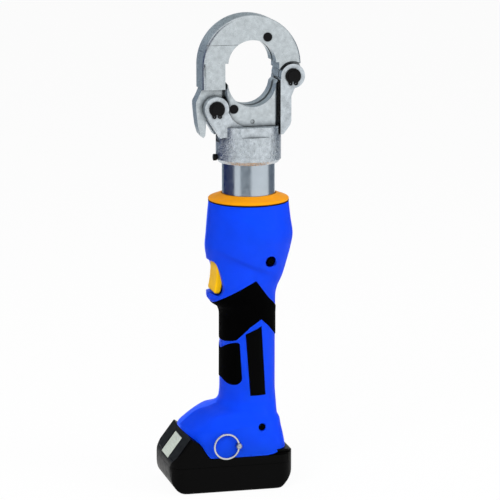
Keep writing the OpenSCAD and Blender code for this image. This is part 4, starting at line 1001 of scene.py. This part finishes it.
    def patch(self, name: str, cover: Cover, side: int, low: Array, high: Array,
              lean: Array | float = 0.0) -> Piece:
        """Make a cover: a grid over angle and height on the skin, with its rim rolled down to the skin.

        The outer face stands out by thick * sqrt(1 - (1 - t)^2), with t the distance from the rim over the
        rim's width, held at one inside it.

        Args:
            name: the piece's name.
            cover: its sizes.
            side: -1 for the left side and 1 for the right.
            low: lower edge at each column.
            high: upper edge at each column.
            lean: angle in radians, for each column or all, that the upper edge is turned by.

        Returns:
            The closed piece, shaded.
        """
        rows, cols = cover.grid
        u = np.linspace(0, 1, rows)[:, None]
        u = u - np.sin(2 * np.pi * u) / (2 * np.pi) * cover.bunch
        v = np.linspace(0, 1, cols)[None, :]
        tall = (high - low)[None, :]
        z = low[None, :] + tall * u
        turn = side * (cover.angles()[None, :] + lean * u)
        wide = np.linalg.norm(np.diff(self.skin(z, turn, cover.lift), axis=1), axis=-1).sum(1)[:, None]
        rim = np.minimum(np.minimum(u, 1 - u) * tall, np.minimum(v, 1 - v) * wide)
        out = cover.lift + (cover.thick - cover.lift) * rolled(rim / cover.rim)
        points = np.vstack([self.skin(z, turn, by).reshape(-1, 3) for by in (out, -cover.sink)])
        at = np.arange(rows * cols).reshape(rows, cols)
        ring = np.concatenate([at[0], at[1:, -1], at[-1, -2::-1], at[-2:0:-1, 0]])
        after = np.roll(ring, -1)
        faces = grid_faces(rows, cols)
        under = (np.asarray(faces)[:, ::-1] + at.size).tolist()
        sides = np.column_stack([after, ring, ring + at.size, after + at.size]).tolist()
        return shade(Shape(points, faces + under + sides).outward().object(name), COVER_ANGLE)

    def soft_grip(self, side: int, word: str) -> None:
        """Build one side's soft grip: the band round the grip's top and the finger pad below it.

        Args:
            side: -1 for the left side and 1 for the right.
            word: the side's name.
        """
        along = squared(np.cos(self.band.angles()), self.grip_square)
        x = (self.grip_back - self.grip_front) / 2 + (self.grip_front + self.grip_back) / 2 * along
        low, high = (self.grip_top + np.interp(x, *np.transpose(edge))
                     for edge in (self.band_low, self.band_top))
        band = self.patch(f"grip_band_{word}", self.band, side, low, high)
        place(band, "handle", Palette.rubber, f"soft_grip_{word}")
        share = np.linspace(0, 1, self.pad.grid[1])
        bulge = self.pad_bulge * np.sin(np.pi * np.clip(self.pad_start + share, 0, 1))
        corner = 1 - rolled(share / self.pad_round)
        low, high = (self.grip_top + z + by * corner for z, by in zip(self.pad_z, self.pad_corner))
        high = high + self.pad_crown * bulge + self.pad_rise * (1 - share)
        lean = np.radians(self.pad_turn * (1 - share))
        pad = self.patch(f"finger_pad_{word}", self.pad, side, low - bulge, high, lean)
        place(pad, "handle", Palette.rubber)

    def name_plate(self) -> None:
        """Build the bare name plate on the left side."""
        cols = self.plate.grid[1]
        low, high = (np.full(cols, self.grip_top + z) for z in self.plate_z)
        high = high - self.plate_fall * np.linspace(0, 1, cols)
        label = self.patch("name_plate", self.plate, -1, low, high, math.radians(self.plate_turn))
        place(label, "handle", Palette.plate, "label_plate")

    def collar(self) -> None:
        """Turn the black seal and the amber collar ring, whose rounded lip stands on the shell's end."""
        r, z, h, bore = self.ring_r, self.seam_z, self.ring_h, self.ring_bore
        neck = r - self.wall - self.ring_gap
        seal = lathe(np.array([
            [r - 2, z - 0.7], [r + 0.1, z - 0.8], [r + 0.35, z - 0.3], [r + 0.1, z + 0.2],
            [r - 2, z + 0.2]])).object("ring_seal")
        place(shade(seal, COVER_ANGLE), "handle", Palette.rubber)
        lip = curve_through(np.array([
            [r - 0.1, z + 0.25], [r + 0.35, z + 0.2 * h], [r - 0.2, z + 0.36 * h], [r - 1.7, z + 0.48 * h],
            [r - 4.2, z + 0.61 * h], [bore + 1, z + h], [bore, z + 0.92 * h]]))
        inside = [[bore, z - self.ring_neck], [neck, z - self.ring_neck], [neck, z + 0.25]]
        ring = lathe(np.vstack([inside, lip])).object("collar_ring_turned")
        place(shade(ring, COVER_ANGLE), body_of_node("collar_ring"), Palette.amber, "collar_ring")

    def build(self) -> None:
        """Build every piece of the handle."""
        self.shells()
        for side, word in SIDES:
            self.soft_grip(side, word)
        self.name_plate()
        self.collar()


@dataclass
class Trigger:
    """The yellow trigger: a rocker on a cross pin, hollowed in front for the finger.

    Each knot is a height, a front and a back edge, counted from the pin.
    """

    bore: float = 1.6
    square: float = 7.0
    edge: float = 2.0
    sides: int = 96
    knots: Table = (
        (-25.6, -3.8, -1.6), (-25.0, -5.0, -0.4), (-23.3, -5.5, 0.8), (-20.0, -4.9, 1.7),
        (-14.5, -4.0, 2.4), (-6.5, -3.3, 3.0), (1.0, -3.2, 3.0), (2.6, -2.2, 2.0), (3.2, -0.7, 0.7))

    def build(self) -> None:
        """Loft the trigger from foot to head and bore it for its pin.

        Each level is a superellipse between the front and back edges, which run smoothly through the
        knots. The width draws in by a quarter circle at both ends.
        """
        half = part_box("trigger")[1][1] / MM
        z, front, back = curve_through(np.asarray(self.knots)).T[..., None]
        wide = half - self.edge * (1 - rolled(np.minimum(z - z[0], z[-1] - z) / self.edge))
        a = around(self.sides)[None, :]
        x = (front + back) / 2 + (back - front) / 2 * squared(np.cos(a), self.square)
        y = wide * squared(np.sin(a), self.square)
        rings = np.stack(np.broadcast_arrays(TRIGGER_PIN[0] + x, y, TRIGGER_PIN[1] + z), -1)
        piece = loft(rings).object("trigger_rocker")
        work(piece, Cut.DIFFERENCE, [rod(self.bore, -FAR_Y, FAR_Y, *TRIGGER_PIN)])
        place(shade(piece, COVER_ANGLE), body_of_node("trigger"), Palette.trigger, "trigger")


@dataclass(frozen=True)
class Coil:
    """A compression spring, which in the tool flattens against its seat as its joint moves; here it keeps
    its node's shape.
    """

    node: str
    joint: str
    axis: Triple
    seat: Triple
    keep: float

    def build(self) -> None:
        """Copy the spring's node with its finish and give the copy a mesh of its own."""
        piece = dressed_copy(self.node, Palette.spring, 0.0)
        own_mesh(piece)


@dataclass
class Battery:
    """The slide-on battery pack with the pocket of its release button."""

    front: float = -80.5
    back: float = 33.5
    half: float = 37.5
    corner: float = 13.0
    plan_gap: float = 0.2
    corner_points: int = 13
    points: int = 300
    side_z: float = 31.8
    deck_z: float = 36.3
    deck_half: float = 35.2
    deck_front: float = -43.9
    foot_x: float = -40.0
    rail: Triple = (2.4, 3.4, 1.2)
    seam_z: float = 24.0
    seam_gap: float = 0.12
    gap: float = 0.4
    button_h: float = 22.0
    button_w: float = 27.0
    button_up: float = 1.6
    button_gap: float = 0.3
    button_sink: float = 6.3
    button_out: float = 20.0
    edge: float = 2.4
    ease: float = 2.8
    bevel: float = 0.7
    shade_angle: float = 34.0

    def outline(self) -> Array:
        """The pack seen from the side, as one closed outline with evenly spaced points and soft corners.

        Returns:
            X and Z of the outline, counter-clockwise.
        """
        f, b = self.front, self.back
        low, high = self.slope()
        past = high + 4.5 * (high - low) / np.linalg.norm(high - low)
        corners = np.array([
            [f + 10.5, 0], [b - 11, 0], [b, 14.5], [b, self.deck_z], [-43, self.deck_z], [-49, 50],
            past, low, [f, low[1] - 2], [f, 17], [f + 1.8, 9], [f + 5, 3.5]])
        return eased(corners, self.points, self.ease)

    def slope(self) -> tuple[Array, Array]:
        """Lower and upper end of the sloping face that the release button sits in, X and Z."""
        return (np.array([self.front + 0.4, self.seam_z + 4]),
                np.array([self.front + 18, DECK_FLOOR + 14.5]))

    def pack(self) -> Piece:
        """The whole pack: its side outline carried across Y with rounded rims, cut to the plan's corners.

        Returns:
            The closed solid.
        """
        piece = plate(self.outline(), -self.half, self.half, self.edge).object("pack_whole")
        f, b, h = self.front - self.plan_gap, self.back + self.plan_gap, self.half + self.plan_gap
        r = self.corner
        turn = np.linspace(0, np.pi / 2, self.corner_points)
        plan = np.vstack([
            np.column_stack([cx + r * np.cos(turn + start), cy + r * np.sin(turn + start)])
            for cx, cy, start in ((b - r, h - r, 0), (f + r, h - r, np.pi / 2),
                                  (f + r, r - h, np.pi), (b - r, r - h, 1.5 * np.pi))])
        rings = np.stack([np.column_stack([plan, np.full(len(plan), z)]) for z in (UNDER, FAR_Z)])
        return work(piece, Cut.INTERSECT, [loft(rings)])

    def under_chin(self, handle: Handle) -> Shape:
        """What the handle's chin and foot take up above the hump, with the sliding clearance.

        Args:
            handle: the handle whose chin the hump follows.

        Returns:
            The cutter.
        """
        curve = handle.chin(0) - self.gap
        keep = curve[curve[:, 1] > self.side_z + 0.2]
        low = self.side_z - 0.4
        rest = [[keep[-1, 0], low], [self.foot_x, low], [self.foot_x, FAR_Z], [-FAR_X, FAR_Z]]
        return plate(np.vstack([keep, rest]), -FAR_Y, FAR_Y)

    def shoulders(self) -> list[Shape]:
        """Cuts beside the sliding deck and the grooves for the handle's rails.

        Returns:
            The cutters.
        """
        deep, low, high = self.rail
        found = []
        for side, _ in SIDES:
            for inner, bottom, top in ((self.deck_half, self.side_z, FAR_Z),
                                       (self.deck_half - deep, self.deck_z - low, self.deck_z - high)):
                near, far = sorted((side * inner, side * FAR_Y))
                found.append(block((self.deck_front, near, bottom), (FAR_X, far, top)))
        return found

    def button_pocket(self) -> Shape:
        """The pocket that the release button moves in, square to the sloping face.

        Returns:
            The cutter.
        """
        a, w = self.button_h / 2 + self.button_gap, self.button_w / 2 + self.button_gap
        shape = block((-a, -w, -self.button_sink), (a, w, self.button_out))
        low, high = self.slope()
        along = (high - low) / np.linalg.norm(high - low)
        middle = low + (self.button_h / 2 + self.button_up) * along
        x, y, z = shape.points.T
        shape.points = np.column_stack([
            middle[0] + x * along[0] - z * along[1], y, middle[1] + x * along[1] + z * along[0]])
        return shape.outward()

    def build(self, handle: Handle) -> None:
        """Build the case and the cover of the pack.

        Args:
            handle: the handle that the pack slides into.
        """
        whole = self.pack()
        for name, low, high in (("battery_case", UNDER, self.seam_z - self.seam_gap),
                                ("battery_cover", self.seam_z + self.seam_gap, FAR_Z)):
            piece = linked(f"{name}_moulded", whole.data.copy())
            work(piece, Cut.INTERSECT, [block((-FAR_X, -FAR_X, low), (FAR_X, FAR_X, high))])
            if name == "battery_cover":
                work(piece, Cut.DIFFERENCE,
                     [self.under_chin(handle), *self.shoulders(), self.button_pocket()])
                soften(piece, self.bevel, COVER_ANGLE)
            place(shade(piece, self.shade_angle, True), "battery", Palette.pack, name)
        bpy.data.objects.remove(whole)


@dataclass
class Studio:
    """Camera, floor, lamps, cards and background, in metres and degrees.

    Each row of lamps and cards is what the methods lamp and card take.
    """

    target: Triple = (0.0015, 0.0, 0.215)
    azimuth: float = -14.0
    elevation: float = 11.5
    distance: float = 2.6
    field_of_view: float = 9.957
    aim: Triple = (0.0, 0.0, 0.22)
    floor_half: float = 14.0
    floor_z: float = -0.0003
    floor_tone: tuple[float, ...] = (0.7, 0.7, 0.7, 1)
    floor_glow: float = 0.95
    matt: float = 0.9
    ambient: float = 0.35
    lamps: tuple[tuple[str, Triple, Pair, float], ...] = (
        ("key", (-1.35, -1.65, 1.6), (1.2, 1.2), 54),
        ("fill", (1.7, -1.3, 0.9), (0.9, 1.4), 40),
        ("top", (0.1, 0.3, 1.9), (1.4, 1.4), 14))
    cards: tuple[tuple[str, Pair, float, Pair, Triple], ...] = (
        ("card_left", (-136, -62), 0.95, (0.002, 0.7), (12, 34, 82)),
        ("card_rear", (-165, -136), 0.95, (0.002, 0.75), (132, 142, 150)),
        ("card_right", (96, 150), 0.95, (0.002, 0.7), (112, 120, 130)),
        ("card_front", (-34, 12), 1.0, (0.002, 0.24), (140, 148, 154)),
        ("card_high", (-80, -28), 0.95, (0.7, 2.4), (20, 34, 70)),
        ("card_back", (140, 220), 2.0, (0.5, 1.9), (140, 150, 156)))

    def camera(self) -> None:
        """Set the camera at the photograph's angle, looking at the target."""
        turn, tilt = math.radians(self.azimuth), math.radians(self.elevation)
        back = np.array([math.sin(turn) * math.cos(tilt), -math.cos(turn) * math.cos(tilt), math.sin(tilt)])
        data = bpy.data.cameras.new("camera")
        data.sensor_width = 36.0
        data.angle = math.radians(self.field_of_view)
        data.clip_end = 100.0
        eye = linked("camera", data)
        eye.location = Vector(np.asarray(self.target) + self.distance * back)
        eye.rotation_euler = Vector(-back).to_track_quat("-Z", "Y").to_euler()
        bpy.context.scene.camera = eye

    def seen(self, graph: Graph) -> Socket:
        """One for what the camera sees, straight or through a mirror or glass, and nought for other light.

        Args:
            graph: the nodes that ask.

        Returns:
            The value.
        """
        rays = graph.add("LightPath", {}, "Is Camera Ray").node.outputs
        first = graph.math("MAXIMUM", rays["Is Camera Ray"], rays["Is Glossy Ray"])
        return graph.math("MAXIMUM", first, rays["Is Transmission Ray"])

    def coat(self, piece: Piece, name: str, colour: tuple[float, ...], specular: float) -> Graph:
        """Give a piece of the studio a matt material.

        Args:
            piece: the piece.
            name: the material's name.
            colour: its linear colour.
            specular: its level of reflection.

        Returns:
            The material's nodes.
        """
        made = bpy.data.materials.new(name)
        made.use_nodes = True
        piece.data.materials.append(made)
        graph = Graph(made.node_tree)
        graph.feed(graph.tree.nodes["Principled BSDF"], {
            "Base Color": colour, "Roughness": self.matt, "Specular IOR Level": specular})
        return graph

    def floor(self) -> None:
        """Lay a pale floor that shows white to the camera and keeps the tool's shadow."""
        u = np.linspace(-self.floor_half, self.floor_half, 9)
        x, y = np.meshgrid(u, u, indexing="ij")
        points = np.stack([x, y, np.full_like(x, self.floor_z)], -1).reshape(-1, 3) / MM
        ground = Shape(points, grid_faces(9, 9)).object("floor")
        graph = self.coat(ground, "floor_pale", self.floor_tone, 0.1)
        nodes = graph.tree.nodes
        mixed = graph.add("MixShader", {
            "Fac": graph.math("MULTIPLY", self.seen(graph), self.floor_glow),
            1: nodes["Principled BSDF"].outputs["BSDF"],
            2: graph.add("Emission", {"Color": WHITE}, "Emission")}, "Shader")
        graph.feed(nodes["Material Output"], {"Surface": mixed})

    def lamp(self, name: str, at: Triple, size: Pair, power: float) -> None:
        """Hang one soft box that points at the tool.

        Args:
            name: the lamp's name.
            at: its place in metres.
            size: its width and height in metres.
            power: its power in watts.
        """
        data = bpy.data.lights.new(name, "AREA")
        data.shape = "RECTANGLE"
        data.size, data.size_y = size
        data.energy = power
        box = linked(name, data)
        box.visible_glossy = False
        box.location = at
        box.rotation_euler = (Vector(self.aim) - Vector(at)).to_track_quat("-Z", "Y").to_euler()

    def card(self, name: str, turn: Pair, radius: float, span: Pair, colour: Triple) -> None:
        """Hang or stand a curved card out of sight, which the polished steel mirrors.

        It is part of a cylinder round the tool: x = R sin t, y = -R cos t, with t counted from the camera's
        direction, positive to the right.

        Args:
            name: the card's name.
            turn: its two ends, in degrees from the camera's direction.
            radius: its distance from the tool in metres.
            span: its lower and upper edge in metres.
            colour: its colour, 0 to 255.
        """
        t = np.radians(np.linspace(*turn, 25) + self.azimuth)[:, None]
        z = np.linspace(*span, 3)[None, :]
        points = np.stack(np.broadcast_arrays(radius * np.sin(t), -radius * np.cos(t), z), -1)
        board = Shape(points.reshape(-1, 3) / MM, grid_faces(25, 3)).object(name)
        self.coat(board, name, linear(colour), 0.0)
        board.visible_shadow = False
        board.visible_diffuse = False
        board.visible_camera = False

    def world(self) -> None:
        """Light the scene evenly, white behind it for the camera and for what it mirrors."""
        made = bpy.data.worlds.new("studio")
        made.use_nodes = True
        graph = Graph(made.node_tree)
        level = graph.spread(self.seen(graph), (0, 1), (self.ambient, 1))
        graph.feed(made.node_tree.nodes["Background"], {"Color": WHITE, "Strength": level})
        bpy.context.scene.world = made

    def build(self) -> None:
        """Build the studio."""
        bpy.context.scene.view_settings.view_transform = "Standard"
        self.camera()
        self.floor()
        self.world()
        for lamp in self.lamps:
            self.lamp(*lamp)
        for card in self.cards:
            self.card(*card)


# CAD nodes that show their own mesh, by finish
NODE_FINISH = (
    (Palette.sleeve, "battery_cells"), (Palette.brass, "battery_contacts terminal_blades"),
    (Palette.pack, "terminal_block"), (Palette.board, "control_board"), (Palette.lead, "motor_leads"),
    (Palette.plate, "motor_end_cap switch_body"), (Palette.zinc, "motor_can ring_gear plunger_plug"),
    (Palette.magnet, "motor_magnets"), (Palette.copper, "motor_rotor"), (Palette.casting, "pump_block"),
    (Palette.bright, "motor_bearings sun_gear planet_gear_1 planet_gear_2 planet_gear_3 planet_pins "
                     "eccentric_shaft crank_bearing shaft_bearing pump_plunger trigger_pin ram_piston"),
    (Palette.spring, "plunger_spring"), (Palette.oxide, "cylinder_screws"),
    (Palette.rubber, "oil_bladder piston_seal rod_wiper"), (Palette.bronze, "rod_guide"),
    (Palette.carrier, "carrier_pin"),
)

# Copies of CAD nodes, with their finish and the width of their rounded edges
COPIES = (
    ("battery_button", Palette.button, 0.5), ("housing_screws", Palette.plate, 0.2),
    ("status_light", Palette.lens, 0.3), ("ring_stud", Palette.zinc, 0.2),
    ("ram_cylinder", Palette.turned, 0.3), ("head_fork", Palette.forged, 0.6),
    ("head_pins", Palette.oxide, 0.3), ("pin_circlips", Palette.oxide, 0.2),
    ("head_lock_screw", Palette.oxide, 0.4), ("upper_jaw", Palette.plated, 0.6),
    ("side_latch", Palette.plated, 0.6), ("die_carrier", Palette.carrier, 0.8),
    ("upper_die_button", Palette.oxide, 0.4), ("lower_die_button", Palette.oxide, 0.4),
    ("carry_ring", Palette.bright, 0.0),
)

SPRINGS = (
    Coil("return_spring", "ram_slide", (0, 0, 1), (0, 0, 305.3), 0.68),
    Coil("trigger_spring", "trigger_pull", (1, 0, 0), (-24.4, 0, 186.5), 0.05),
    Coil("battery_button_spring", "battery_button_press", (0.7965, 0, -0.6046), (-62.3, 0, 30.8), 0.62),
)


def dress_nodes() -> None:
    """Give every CAD node that stays in view its finish."""
    for finish, nodes in NODE_FINISH:
        for node in nodes.split():
            mesh = frame["nodes"][node].data
            mesh.materials.clear()
            mesh.materials.append(finish.material())
            LOG.info("%s as in the CAD, %s", node, finish.name)


def main() -> None:
    """Build the studio and the tool, piece by piece."""
    logging.basicConfig(level=logging.INFO, format="%(message)s")
    Studio().build()
    handle = Handle()
    handle.build()
    Battery().build(handle)
    Trigger().build()
    for node, finish, width in COPIES:
        dressed_copy(node, finish, width)
    for coil in SPRINGS:
        coil.build()
    dress_nodes()


if __name__ == "__main__":
    main()
